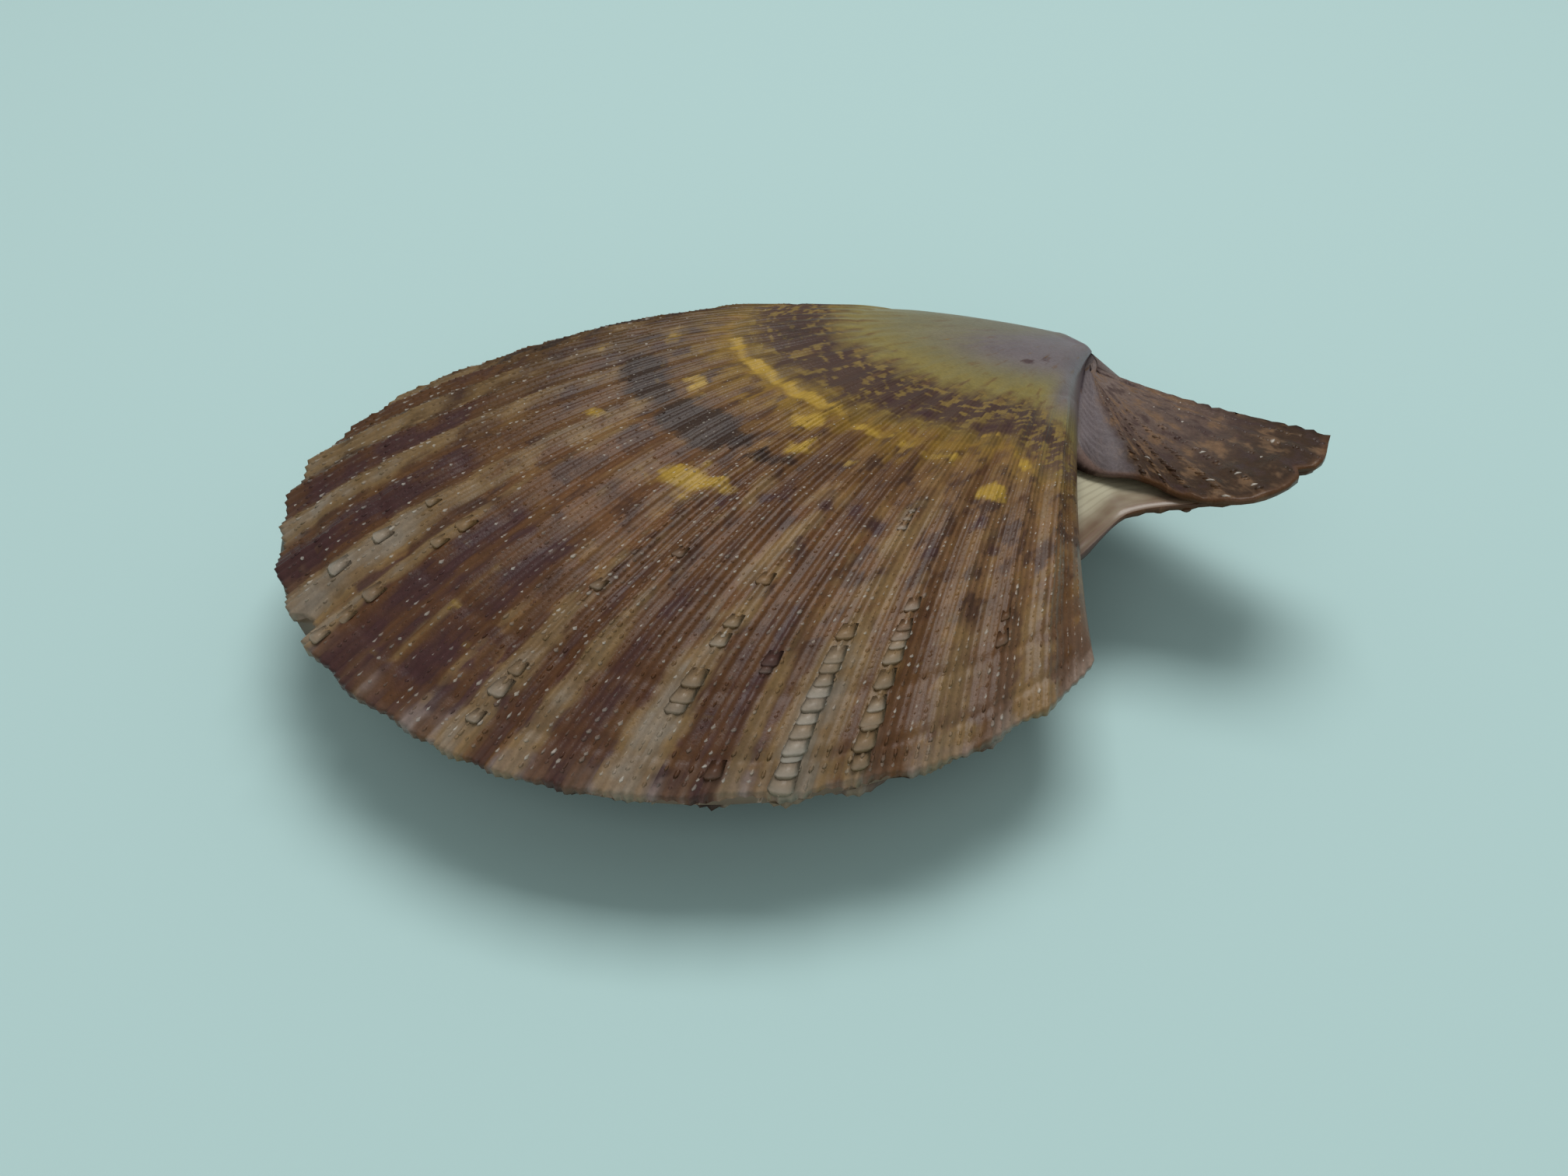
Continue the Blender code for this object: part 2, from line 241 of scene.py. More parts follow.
def relief(phase, ray, growth, seed):
    """Sum of main ribs, riblets, growth stops and slow waves, in metres along the normal."""
    inside = smooth_step(0.0, RIB_PITCH, np.minimum(ray - FLANK_BEHIND, FLANK_AHEAD - ray))
    broad = RIB_HEIGHT * (0.5 + 0.5 * np.cos(2.0 * np.pi * phase)) * smooth_step(*RIB_FADE, growth)
    number, factor = riblet_draw(phase, 0.55, 1.15, seed)
    strength = np.where(number % RIBLETS == 0, CREST_RIBLET_HEIGHT, RIBLET_HEIGHT * factor)
    fine = strength * riblet_wave(phase) * smooth_step(*RIBLET_FADE, growth)
    stops = sum(depth * MM * np.exp(-(((growth - at) / STOP_WIDTH) ** 2)) for at, depth in GROWTH_STOPS)
    slow = np.sin(9.0 * ray + 14.0 * growth + seed) * np.sin(23.0 * growth - 5.0 * ray)
    slow = slow + 0.6 * np.sin(31.0 * ray - 19.0 * growth) * np.sin(11.0 * ray + 41.0 * growth + seed)
    slow = UNEVENNESS * slow * smooth_step(0.1, 0.5, growth)
    full = UMBO_FULLNESS * (1.0 - smooth_step(0.05, 0.35, growth))
    return (broad + fine - stops + full + slow) * inside


print("relief mm across one rib at growth 0.9:",
      np.round(relief(np.linspace(0.0, 0.5, 7), rib_ray(np.linspace(0.0, 0.5, 7)), 0.9, 3) / MM, 2))

# %% [markdown]
# ## The margin
# Riblets end as tiny teeth, and main ribs as low scallops. Chips are broken out of the thin edge.
# Each chip is a shallow bite: the rays there end a little short of full growth. Cutting the chips
# with a boolean would leave ragged faces, and moving the ends of the rays keeps the grid whole.

# %% Teeth and chips
RIB_SCALLOP = 0.15 * MM
TOOTH = 0.13 * MM
CHIPS_RIGHT = [(-15, 9, 0.3), (22, 9, 0.4), (-7, 1.1, 0.75), (-15.5, 1.2, 0.35), (21.5, 2.2, 0.35),
               (27.5, 2.6, 0.45), (31.5, 1.5, 0.25), (35.5, 2.4, 0.35), (-27, 1.6, 0.4), (3, 1.4, 0.2),
               (12.5, 0.8, 0.25), (-33, 1.2, 0.3)]
CHIPS_LEFT = [(-22, 1.6, 0.4), (-9, 1.2, 0.5), (5, 2, 0.3), (16, 1, 0.55), (30, 1.8, 0.35)]


def margin_push(phase, ray, chips, seed):
    """How far each ray's end moves outwards: scallops and teeth, less the chips.

    A chip is (degrees, half width in degrees, depth in mm), with the profile 1 - offset to the fourth.
    """
    scallop = RIB_SCALLOP * 0.5 * np.cos(2.0 * np.pi * phase)
    teeth = TOOTH * riblet_draw(phase, 0.3, 1.3, seed + 50)[1] * (riblet_wave(phase) - 0.5)
    degrees = np.degrees(ray)
    bites = sum(deep * MM * np.clip(1.0 - ((degrees - at) / half) ** 4, 0.0, 1.0)
                for at, half, deep in chips)
    return scallop + teeth - bites


print("chips:", len(CHIPS_RIGHT), "in the upper margin,", len(CHIPS_LEFT), "in the lower")

# %% [markdown]
# ## Outer and inner face of the disc
# The outer face is the dome plus relief. The inner face is the same dome, lower by the wall and
# drawn in at the flanks. It is seen only through the gap and the notch, so it has few rows. A
# Solidify modifier would copy every riblet inside, where the real shell is smooth.

# %% Disc faces
WALL = 0.75 * MM
EDGE_THICKNESS = 0.3 * MM
INNER_FLATTENING = 0.05
INNER_MARGIN = 0.997
GAP = 0.3 * MM
CAVITY_START = 0.14
INNER_ROWS = 14
MARGIN_REACH = 0.06


def outer_disc(valve):
    """Outer face: dome, relief along the normal, and the toothed margin pushed outwards."""
    growth = GROWTH[:, None]
    ray = RAY[None, :]
    rounding = 1.0 + UMBO_ROUNDING * (1.0 - smooth_step(0.0, UMBO_GROWTH, growth))
    points = disc_points(ray, growth, valve, SHOULDER_WIDTH * rounding)
    normal = -unit(np.cross(np.gradient(points, axis=1), np.gradient(points, axis=0)))
    points = points + normal * relief(PHASE[None, :], ray, growth, valve["seed"])[..., None]
    push = margin_push(PHASE, RAY, valve["chips"], valve["seed"])[None, :]
    push = push * smooth_step(1.0 - MARGIN_REACH, 1.0, growth)
    points[..., :2] += unit(points[..., :2]) * push[..., None]
    points[..., 2] += 0.5 * GAP + EDGE_THICKNESS
    return points


def inner_disc(valve, outer, rows):
    """Inner face on the chosen rows; its last row lies just inside the toothed margin."""
    growth = CAVITY_START + (1.0 - CAVITY_START) * (GROWTH[rows] - GROWTH[0]) / (1.0 - GROWTH[0])
    points = disc_points(RAY[None, :], growth[:, None], valve, INNER_SHOULDER_WIDTH)
    flank = np.where(RAY > 0.0, FLANK_AHEAD, FLANK_BEHIND)
    drawn_in = WALL * RAY / flank
    points[..., 0] -= np.sign(RAY) * drawn_in * np.cos(flank)
    points[..., 1] -= drawn_in * np.abs(np.sin(flank))
    lowered = (1.0 - INNER_FLATTENING) * points[..., 2] - (WALL - EDGE_THICKNESS)
    points[..., 2] = 0.5 * GAP + np.clip(lowered, 0.0, None)
    points[-1, :, :2] = outer[-1, :, :2] * INNER_MARGIN
    points[-1, :, 2] = 0.5 * GAP
    return points


print("wall mm", WALL / MM, "thinning to", EDGE_THICKNESS / MM, "at the margin")

# %% [markdown]
# ## Ears
# The ears are wings of shell along the hinge. The front ones are long: the upper one ends above
# the byssal notch, the gap where a living scallop puts out its anchoring threads, and both bend up
# a little towards their tips. An ear is its free edge scaled towards the beak, row by row, so its
# riblets and growth lines run as the real ones do. Its hinge edge is a little uneven, and a chip is
# broken out of its free edge.

# %% Ear outlines and surfaces
HINGE_DROP = 3.0 * MM
BEAK_PROUD = 1.7 * MM
BEAK_DEPTH = 1.2 * MM
EAR_CENTRE_FORWARD = 0.65 * MM
HINGE_GROOVE = 0.25 * MM
EAR_WALL = 0.5 * MM
EAR_RISE = 3.3 * MM
EAR_RISE_REACH = 20.6 * MM
EAR_RISE_POWER = 1.8
EAR_RISE_START = 0.28
EAR_FALL = 1.6 * MM
EAR_FALL_REACH = 11.0 * MM
EAR_FALL_POWER = 1.2
EAR_COLUMNS = 34
EAR_SHARE = np.arange(1, EAR_COLUMNS + 1) / EAR_COLUMNS
EAR_RIBLETS = 8
EAR_RIBLET_HEIGHT = 0.16 * MM
EAR_LAMELLA = 0.03 * MM
EAR_LAMELLAE = 16.0
FASCIOLE_SHARE = 0.27
HEM_TOOTH = 0.08 * MM
INNER_HEM = -1.6
EAR_CHIP = 0.9 * MM
EAR_CHIP_AT = 0.7941
EAR_CHIP_WIDTH = 0.02
EAR_SAG = 0.9 * MM
RIGHT_FRONT_EAR = [(12.2, -12.1), (15.2, -12.1), (18.7, -12.7), (21.8, -10.9), (22.0, -5.9), (20.5, -2.6)]
LEFT_FRONT_EAR = [(15.9, -16.6), (16.6, -14.4), (18.3, -12.5), (20.8, -9.8), (21.4, -5.6), (20.2, -2.6)]
BACK_EAR = [(-11.0, -11.8), (-11.3, -10.2), (-11.4, -8.5), (-11.1, -6.7), (-10.2, -4.8), (-8.4, -3.1)]


def smooth_curve(points, share):
    """Catmull-Rom curve through the points, with share 0 at the first and 1 at the last."""
    ends = np.concatenate([[2.0 * points[0] - points[1]], points, [2.0 * points[-1] - points[-2]]])
    place = share * (len(points) - 1)
    piece = np.clip(np.floor(place).astype(int), 0, len(points) - 2)
    part = (place - piece)[:, None]
    before, start, end, after = (ends[piece + k] for k in range(4))
    bend = (2.0 * before - 5.0 * start + 4.0 * end - after) * part**2
    bend = bend + (-before + 3.0 * start - 3.0 * end + after) * part**3
    return 0.5 * (2.0 * start + (end - before) * part + bend)


def ear_wave(share):
    """1 on the crests of the ear's riblets; the smooth fasciole next to the disc has none."""
    turn = 2.0 * np.pi * EAR_RIBLETS * (share - FASCIOLE_SHARE) / (1.0 - FASCIOLE_SHARE)
    wave = (0.5 - 0.5 * np.cos(turn)) ** 1.3
    return wave * smooth_step(FASCIOLE_SHARE - 0.02, FASCIOLE_SHARE + 0.03, share)


def ear_points(foot_line, outline, heights, seed, ribbed):
    """Grid of an ear: the free edge scaled to each row, raised by riblets and bent along the hinge.

    The hem, along the hinge, and the chip move both faces of the ear alike, so its wall stays whole.
    """
    share = EAR_SHARE
    edge = smooth_curve(np.concatenate([foot_line[-1:, :2], np.array(outline) * MM]), share)
    centre = np.stack([np.full(EAR_COLUMNS, EAR_CENTRE_FORWARD), -HINGE_DROP * share], axis=-1)
    reach = np.linalg.norm(foot_line[:, :2] - centre[0], axis=1)
    scale = (reach / reach[-1])[:, None]
    flat = centre + scale[..., None] * (edge - centre)
    stray = foot_line[:, None, :2] - centre[0] - scale[..., None] * (foot_line[-1, :2] - centre[0])
    flat = flat + stray * ((1.0 - share) ** 2)[None, :, None]
    near_edge = smooth_step(0.90, 1.0, scale) * np.ones(EAR_COLUMNS)
    height = heights[0] + (heights[1] - heights[0]) * near_edge
    teeth = np.full(scale.shape, INNER_HEM)
    if ribbed:
        rough = np.sin(40.0 * scale + 9.0 * share + seed) * np.sin(17.0 * share + 3.0 * seed)
        raised = ear_wave(share) * EAR_RIBLET_HEIGHT * (1.0 + 0.4 * rough)
        lamellae = EAR_LAMELLA * np.sin(2.0 * np.pi * EAR_LAMELLAE * scale)
        height = height + (raised + lamellae) * smooth_step(0.15, 0.5, scale)
        teeth = np.sin(2.0 * np.pi * 19.0 * scale + seed) + 0.6 * np.sin(2.0 * np.pi * 31.0 * scale)
    flat[..., 1] += HEM_TOOTH * smooth_step(0.93, 1.0, share) * teeth * smooth_step(0.3, 0.6, scale)
    chip = np.exp(-(((share - EAR_CHIP_AT) / EAR_CHIP_WIDTH) ** 2)) * near_edge
    flat -= EAR_CHIP * chip[..., None] * unit(flat - centre)
    height[:, -1] += HINGE_GROOVE
    return np.concatenate([flat, height[..., None]], axis=-1), scale


def ear_rise(forward):
    """Height that the front ears gain along the hinge, where the pair bends up; the hind ears bend down."""
    ahead = EAR_RISE * np.clip(forward / EAR_RISE_REACH, 0.0, None) ** EAR_RISE_POWER
    behind = EAR_FALL * np.clip(-forward / EAR_FALL_REACH, 0.0, None) ** EAR_FALL_POWER
    return (ahead - behind) * smooth_step(0.0, EAR_RISE_START, EAR_SHARE)


print("front ears reach mm", RIGHT_FRONT_EAR[4][0], LEFT_FRONT_EAR[4][0], "hind", BACK_EAR[2][0])

# %% [markdown]
# ## What each point is
# A pattern that follows growth needs to know where it is on the shell. Each vertex therefore
# carries its rib phase, its growth, and how much of each marking falls on it. The markings are
# written as a few soft rays and patches, placed where this shell has them, and the material breaks
# them up with noise later. Painting an image would be quicker, but it could not follow the ribs.

# %% Rays, patches and bands
DARK_RAYS = [(-33, 2.2, 0.6), (-26.5, 2, 0.6), (-18.6, 1.9, 0.85), (-12.1, 2.3, 1), (-3, 1.7, 0.95),
             (-0.8, 0.9, 0.8), (1.9, 1.7, 1), (4.8, 0.5, 0.5), (8.5, 1, 0.75), (12.4, 1.6, 0.9),
             (14, 0.5, 0.6), (18.3, 0.8, 0.8), (19.8, 0.8, 0.9), (22.2, 0.4, 0.4), (26.2, 0.5, 0.45),
             (28.6, 1.3, 0.55), (34, 1.1, 0.4), (39.6, 0.7, 0.4)]
PALE_RAYS = [(-36.5, 1.5, 0.5), (-29.5, 1.5, 0.5), (-22.6, 1.5, 0.65), (-15.9, 1.1, 0.9), (-8.3, 1.6, 1),
             (-5.2, 0.7, 0.8), (0.1, 0.3, 0.3), (3.8, 0.35, 0.35), (6.6, 1.1, 0.8), (10.2, 0.8, 0.7),
             (15.9, 1.5, 0.95), (21, 0.6, 0.6), (24, 1.9, 1), (27, 0.6, 0.6), (31.8, 1.7, 0.55),
             (37.3, 1.7, 0.45)]
YELLOW_SPOTS = [(-14, 0.488, 4, 0.012, 0.7), (-6, 0.487, 7, 0.011, 1), (3, 0.49, 6, 0.012, 0.95),
                (6.5, 0.525, 2, 0.02, 0.9), (9.3, 0.57, 1.6, 0.015, 1), (5.5, 0.66, 2.8, 0.014, 0.9),
                (3.6, 0.672, 3.2, 0.026, 0.7), (13, 0.508, 3.5, 0.01, 0.6), (18, 0.512, 1.4, 0.014, 0.6),
                (30.5, 0.59, 2, 0.02, 1), (14.5, 0.57, 1, 0.012, 0.4), (-8, 0.56, 3, 0.02, 0.5),
                (-21, 0.56, 2.4, 0.014, 0.6), (-15.5, 0.53, 2, 0.015, 0.4), (23, 0.53, 3, 0.02, 0.5),
                (26, 0.47, 2.6, 0.012, 0.5), (33, 0.5, 2.2, 0.016, 0.6), (-23, 0.64, 2, 0.012, 0.4),
                (-9, 0.665, 3, 0.014, 0.4)]
SLATE_SPOTS = [(-12, 0.6, 7, 0.026, 1.05), (-1, 0.597, 6, 0.026, 1.5), (8, 0.6, 4, 0.014, 0.7),
               (-34, 0.79, 6, 0.085, 1), (-36, 0.66, 4, 0.05, 0.7), (-24, 0.72, 2, 0.03, 0.6),
               (-21, 0.595, 3, 0.012, 0.4), (-16, 0.42, 8, 0.03, 0.5), (6, 0.43, 1.6, 0.012, 0.4)]
PURPLE_SPOTS = [(20.5, 0.222, 2.4, 0.01, 0.9), (24.5, 0.2, 3, 0.022, 0.45), (12, 0.652, 1.6, 0.012, 0.8),
                (16.4, 0.648, 1, 0.014, 0.8), (19, 0.645, 0.9, 0.016, 0.8),
                (8.6, 0.672, 1.4, 0.014, 0.7), (27, 0.455, 3.5, 0.022, 0.9),
                (16.5, 0.445, 2.2, 0.01, 0.8), (12, 0.44, 4, 0.02, 0.6), (33, 0.47, 1.6, 0.014, 0.6),
                (30, 0.655, 1.4, 0.016, 0.7), (27, 0.7, 1, 0.02, 0.6), (24, 0.73, 0.8, 0.012, 0.6),
                (32.5, 0.71, 1, 0.02, 0.7), (21.4, 0.665, 0.9, 0.014, 0.7), (17, 0.7, 0.8, 0.012, 0.6)]
FRONT_BEND = 0.30
BACK_BEND = 0.12


def rays_field(degrees, rays):
    """Highest of the soft rays (degrees, half width, strength): flat-topped, gone at twice the width."""
    return np.max([power * np.exp(-np.abs((degrees - at) / half) ** 3) for at, half, power in rays], axis=0)


def spots_field(degrees, growth, spots):
    """Highest of the soft ovals (degrees, growth, half width, half depth, strength) at each point."""
    fall = [power * np.exp(-((degrees - at) / half) ** 2 - ((growth - row) / deep) ** 2)
            for at, row, half, deep, power in spots]
    return np.max(fall, axis=0)


def band_growth(degrees, growth):
    """Growth as the colour bands see it: near both flanks the bands bend towards the margin."""
    bend = FRONT_BEND * smooth_step(28.0, 42.0, degrees) * (1.0 - smooth_step(0.55, 0.75, growth))
    return growth * (1.0 - bend - BACK_BEND * smooth_step(22.0, 36.0, -degrees))


def markings(degrees, growth):
    """Amount of each marking on the disc: rays grow stronger towards the margin, spots stay put."""
    bands = band_growth(degrees, growth)
    ahead = smooth_step(2.0, 9.0, degrees)
    late = smooth_step(0.76, 0.80, bands)
    dark_grows = (0.25 + 0.30 * ahead) * smooth_step(0.48, 0.55, bands) * (1.0 - late)
    dark_grows = dark_grows + (0.85 - 0.1 * ahead) * late
    pale_grows = 0.45 * smooth_step(0.52, 0.66, growth) + 0.55 * smooth_step(0.78, 0.9, growth)
    return {
        "bands": bands,
        "dark": rays_field(degrees, DARK_RAYS) * dark_grows,
        "pale": rays_field(degrees, PALE_RAYS) * pale_grows,
        "yellow": spots_field(degrees, bands, YELLOW_SPOTS),
        "slate": spots_field(degrees, growth, SLATE_SPOTS),
        "purple": spots_field(degrees, bands, PURPLE_SPOTS),
        "front": smooth_step(16.0, 30.0, degrees),
    }


print("rays:", len(DARK_RAYS), "dark,", len(PALE_RAYS), "pale; spots:",
      len(YELLOW_SPOTS) + len(SLATE_SPOTS) + len(PURPLE_SPOTS))

# %% [markdown]
# ## The grid of a whole valve
# A valve is a grid of hind ear, disc and front ear side by side. Ear columns stop at the notch, so
# the grid has holes: points that don't exist are NaN. Between the beak's tip and the first growth
# line a few rows follow a quarter ellipse, because a real beak ends bluntly and not in a point.

# %% Sheets with their ears
NOSE_ROWS = 4
NOSE_ROUNDNESS = 0.65
FOOT_FADE = 0.035
BACK_EAR_GROWTH = 0.50
EAR_PHASES = 4.0


def with_ears(disc, rows, valve, heights, ribbed):
    """The disc's grid with both ears beside it; heights are the ear's at the beak and at its edge."""
    side = valve["side"]
    growth = GROWTH[rows]
    points = disc.copy()
    whole = np.full((len(rows), 2 * EAR_COLUMNS + disc.shape[1], 3), np.nan)
    ears = []
    for column, last_row, outline, seed in ((0, valve["back_row"], BACK_EAR, 1.0),
                                            (-1, valve["front_row"], valve["ear"], 2.0)):
        count = int(np.sum(growth <= GROWTH[last_row]))
        past = smooth_step(0.0, FOOT_FADE, growth - growth[count - 1])
        points[:, column, 2] = heights[0] + (points[:, column, 2] - heights[0]) * past
        ear, scale = ear_points(disc[:count, column], outline, heights, seed, ribbed)
        ear[..., 2] = side * ear[..., 2] + ear_rise(ear[..., 0])
        ears.append(ear)
    points[..., 2] *= side
    back, front = ears
    if side < 0.0:
        hollow = smooth_step(0.0, 0.3, EAR_SHARE) * (1.0 - smooth_step(0.6, 1.0, EAR_SHARE))
        front[..., 2] -= EAR_SAG * np.sin(np.pi * scale) * hollow
    whole[:len(back), :EAR_COLUMNS] = back[:, ::-1]
    whole[:, EAR_COLUMNS:-EAR_COLUMNS] = points
    whole[:len(front), -EAR_COLUMNS:] = front
    return whole


def nose_rows(tip, first_row):
    """Rows from the beak's tip to the first growth line: a quarter ellipse, so the beak ends bluntly."""
    step = 0.5 * np.pi * np.arange(1, NOSE_ROWS + 1)[:, None] / (NOSE_ROWS + 1)
    even = (1.0 - NOSE_ROUNDNESS) * 2.0 * step / np.pi
    rise = NOSE_ROUNDNESS * np.sin(step) + even
    run = NOSE_ROUNDNESS * (1.0 - np.cos(step)) + even
    return tip + (first_row - tip)[None] * np.stack([rise, run, rise], axis=-1)


def grid_values(valve, growth):
    """Numbers at every grid point: rib phase, growth, crests, place on the ear, and the markings."""
    share = EAR_SHARE
    back_ear = np.full(EAR_COLUMNS, FLANK_BEHIND)
    front_ear = np.full(EAR_COLUMNS, FLANK_AHEAD)
    growth = growth[:, None] * np.ones(len(RAY) + 2 * EAR_COLUMNS)
    crest = np.concatenate([ear_wave(share)[::-1], riblet_wave(PHASE), ear_wave(share)])
    phase = np.concatenate([PHASE[0] - EAR_PHASES * share[::-1], PHASE, PHASE[-1] + EAR_PHASES * share])
    fields = {
        "phase": phase,
        "growth": growth,
        "ear": np.concatenate([share[::-1], np.zeros(len(RAY)), share]),
        # crest is 1 on riblet crests; the calcite paints shade in the troughs, where it is low.
        "crest": crest * smooth_step(0.30, 0.55, growth),
        "white": 0.0,
        "rim": growth / GROWTH[valve["front_row"]],
        **markings(np.degrees(np.concatenate([back_ear, RAY, front_ear])), growth),
    }
    return {key: field * np.ones(growth.shape) for key, field in fields.items()}


def nearest_row(growth):
    return int(np.argmin(np.abs(GROWTH - growth)))


RIGHT = {
    "name": "right", "side": 1.0, "turning": (0.503, 1.22), "drawn_back": 0.0, "seed": 3,
    "ear": RIGHT_FRONT_EAR, "front_row": nearest_row(0.39), "back_row": nearest_row(BACK_EAR_GROWTH),
    "chips": CHIPS_RIGHT, "scale_end": 0.985,
}
LEFT = {
    "name": "left", "side": -1.0, "turning": (0.505, 1.05), "drawn_back": 1.35 * MM, "seed": 8,
    "ear": LEFT_FRONT_EAR, "front_row": nearest_row(0.73), "back_row": nearest_row(BACK_EAR_GROWTH),
    "chips": CHIPS_LEFT, "scale_end": 0.90,
}
print("front ears join the disc up to rows", RIGHT["front_row"], "and", LEFT["front_row"])

# %% [markdown]
# ## Sheets into a closed valve
# The outer and inner sheet are closed by a fan at each beak and a rim along every open edge. The
# inner sheet has fewer rows, and each outer vertex knows its nearest inner partner, so the rim
# becomes triangles where rows are missing and the shell stays closed. The valve is then turned to
# its tilt at rest, and the floor cuts the belly flat where the real shell is worn.

# %% Meshes from arrays
PITCH = np.radians(1.2)
ROLL = np.radians(0.6)
BEAK_PLACE = np.array([-0.25, 28.22, 7.63]) * MM


def place(points):
    """Turns shell-frame points to the tilt at rest and carries the beaks to their place."""
    turn = np.array(Euler((PITCH, ROLL, 0.0)).to_matrix())
    return points @ turn.T + BEAK_PLACE


def numbered(there, first):
    """Vertex number of each grid point that exists, counted from first, and -1 elsewhere."""
    numbers = np.full(there.shape, -1)
    numbers[there] = first + np.arange(there.sum())
    return numbers


def grid_quads(numbers):
    """Four corners of every cell whose corners all exist."""
    corners = np.stack([numbers[:-1, :-1], numbers[:-1, 1:], numbers[1:, 1:], numbers[1:, :-1]], axis=-1)
    corners = corners.reshape(-1, 4)
    return corners[(corners >= 0).all(axis=1)]


def beak_fan(numbers, apex):
    """Triangles from the beak to the first row."""
    first = numbers[0]
    return np.stack([np.full(len(first) - 1, apex), first[1:], first[:-1]], axis=-1)


def open_edges(quads, fan):
    """Directed edges that one face uses and no face uses the other way round."""
    edges = [quads[:, [k, (k + 1) % 4]] for k in range(4)] + [fan[:, [k, (k + 1) % 3]] for k in range(3)]
    edges = np.concatenate(edges)
    most = edges.max() + 1
    code = edges[:, 0] * most + edges[:, 1]
    back = edges[:, 1] * most + edges[:, 0]
    return edges[~np.isin(code, back)]


def facing_out(points, quads, triangles):
    """Turns every face round if together they enclose a negative volume."""
    halves = np.concatenate([quads[:, [0, 1, 2]], quads[:, [0, 2, 3]], triangles])
    centred = points - points.mean(axis=0)
    a, b, c = (centred[halves[:, k]] for k in range(3))
    if np.einsum("ij,ij->", a, np.cross(b, c)) < 0.0:
        return quads[:, ::-1], triangles[:, ::-1]
    return quads, triangles


def add_mesh(name, points, quads, triangles, values, looks=None):
    """Mesh object from shell-frame arrays; values are floats per vertex, looks a material per face."""
    placed = place(points)
    placed[:, 2] = np.maximum(placed[:, 2], 0.0)
    quads, triangles = facing_out(points, quads, triangles)
    mesh = bpy.data.meshes.new(name)
    mesh.vertices.add(len(points))
    mesh.vertices.foreach_set("co", placed.astype(np.float32).ravel())
    loops = np.concatenate([quads.ravel(), triangles.ravel()]).astype(np.int32)
    starts = np.concatenate([4 * np.arange(len(quads)), 4 * len(quads) + 3 * np.arange(len(triangles))])
    mesh.loops.add(len(loops))
    mesh.loops.foreach_set("vertex_index", loops)
    mesh.polygons.add(len(starts))
    mesh.polygons.foreach_set("loop_start", starts.astype(np.int32))
    mesh.update(calc_edges=True)
    mesh.validate()
    for key, numbers in values.items():
        layer = mesh.attributes.new(key, "FLOAT", "POINT")
        layer.data.foreach_set("value", numbers.astype(np.float32))
    if looks is not None:
        mesh.polygons.foreach_set("material_index", looks.astype(np.int32))
    mesh.shade_smooth()
    print(name, 2 * len(quads) + len(triangles), "triangles, box mm",
          np.round(placed.min(axis=0) / MM, 2), np.round(placed.max(axis=0) / MM, 2))
    return add_object(name, mesh)


# %% [markdown]
# ## Both valves
# The inner sheet gets every tenth row or so, and the rows where an ear ends, so the rim follows the
# notch. Faces are marked as outside (material 0) or inside (material 1) as they are made.

# %% Valve as one closed mesh
OUTSIDE = 0
INSIDE = 1


def closed_valve(valve):
    """Outer and inner sheet joined by fans at the beak and a rim round every open edge."""
    disc = outer_disc(valve)
    hinge = 0.5 * GAP + HINGE_GROOVE
    outer = with_ears(disc, np.arange(ROWS), valve, (0.5 * GAP + EAR_WALL, 0.5 * GAP + EDGE_THICKNESS), True)
    even_rows = np.linspace(0, ROWS - 1, INNER_ROWS).astype(int)
    coarse = np.unique([*even_rows, valve["back_row"], valve["front_row"], ROWS - 3])
    inner = with_ears(inner_disc(valve, disc, coarse), coarse, valve, (0.5 * GAP, 0.5 * GAP), False)
    tip = np.array([BEAK_LEAN, BEAK_PROUD - HINGE_DROP, valve["side"] * (hinge + EAR_WALL)])
    inner_tip = np.array([BEAK_LEAN, -HINGE_DROP - BEAK_DEPTH, valve["side"] * hinge])
    sheet = np.concatenate([nose_rows(tip, outer[0]), outer])
    there = ~np.isnan(sheet[..., 0])
    inner_there = ~np.isnan(inner[..., 0])
    apex = there.sum()
    inner_apex = apex + 1 + inner_there.sum()
    number = numbered(there, 0)
    inner_number = numbered(inner_there, apex + 1)
    quads = grid_quads(number)
    fan = beak_fan(number, apex)
    inner_quads = grid_quads(inner_number)[:, ::-1]
    inner_fan = beak_fan(inner_number, inner_apex)[:, ::-1]
    sheet_rows = np.concatenate([np.zeros(NOSE_ROWS, int), np.arange(ROWS)])
    nearest = np.searchsorted(coarse, sheet_rows, side="right") - 1
    partner = np.append(inner_number[nearest][there], inner_apex)
    start, end = open_edges(quads, fan).T
    same = partner[start] == partner[end]
    rim_quads = np.stack([end, start, partner[start], partner[end]], axis=-1)[~same]
    rim_fans = np.stack([end, start, partner[start]], axis=-1)[same]
    parts = [quads, inner_quads, rim_quads, fan, inner_fan, rim_fans]
    looks = np.repeat([OUTSIDE, INSIDE, OUTSIDE] * 2, [len(part) for part in parts])
    nose_growth = FIRST_GROWTH * np.arange(1, NOSE_ROWS + 1) / (NOSE_ROWS + 1)
    spread = grid_values(valve, np.concatenate([nose_growth, GROWTH]))
    fields = {key: field[NOSE_ROWS:] for key, field in spread.items()}
    values = {}
    for key, field in spread.items():
        inner_values = fields[key][coarse][inner_there]
        values[key] = np.concatenate([field[there], [field[0, EAR_COLUMNS]], inner_values, [0.0]])
    points = np.concatenate([sheet[there], [tip], inner[inner_there], [inner_tip]])
    all_quads, all_fans = np.concatenate(parts[:3]), np.concatenate(parts[3:])
    shell = add_mesh(valve["name"] + "_valve_shell", points, all_quads, all_fans, values, looks)
    return shell, outer, fields


for valve in (RIGHT, LEFT):
    valve["shell"], valve["grid"], valve["fields"] = closed_valve(valve)

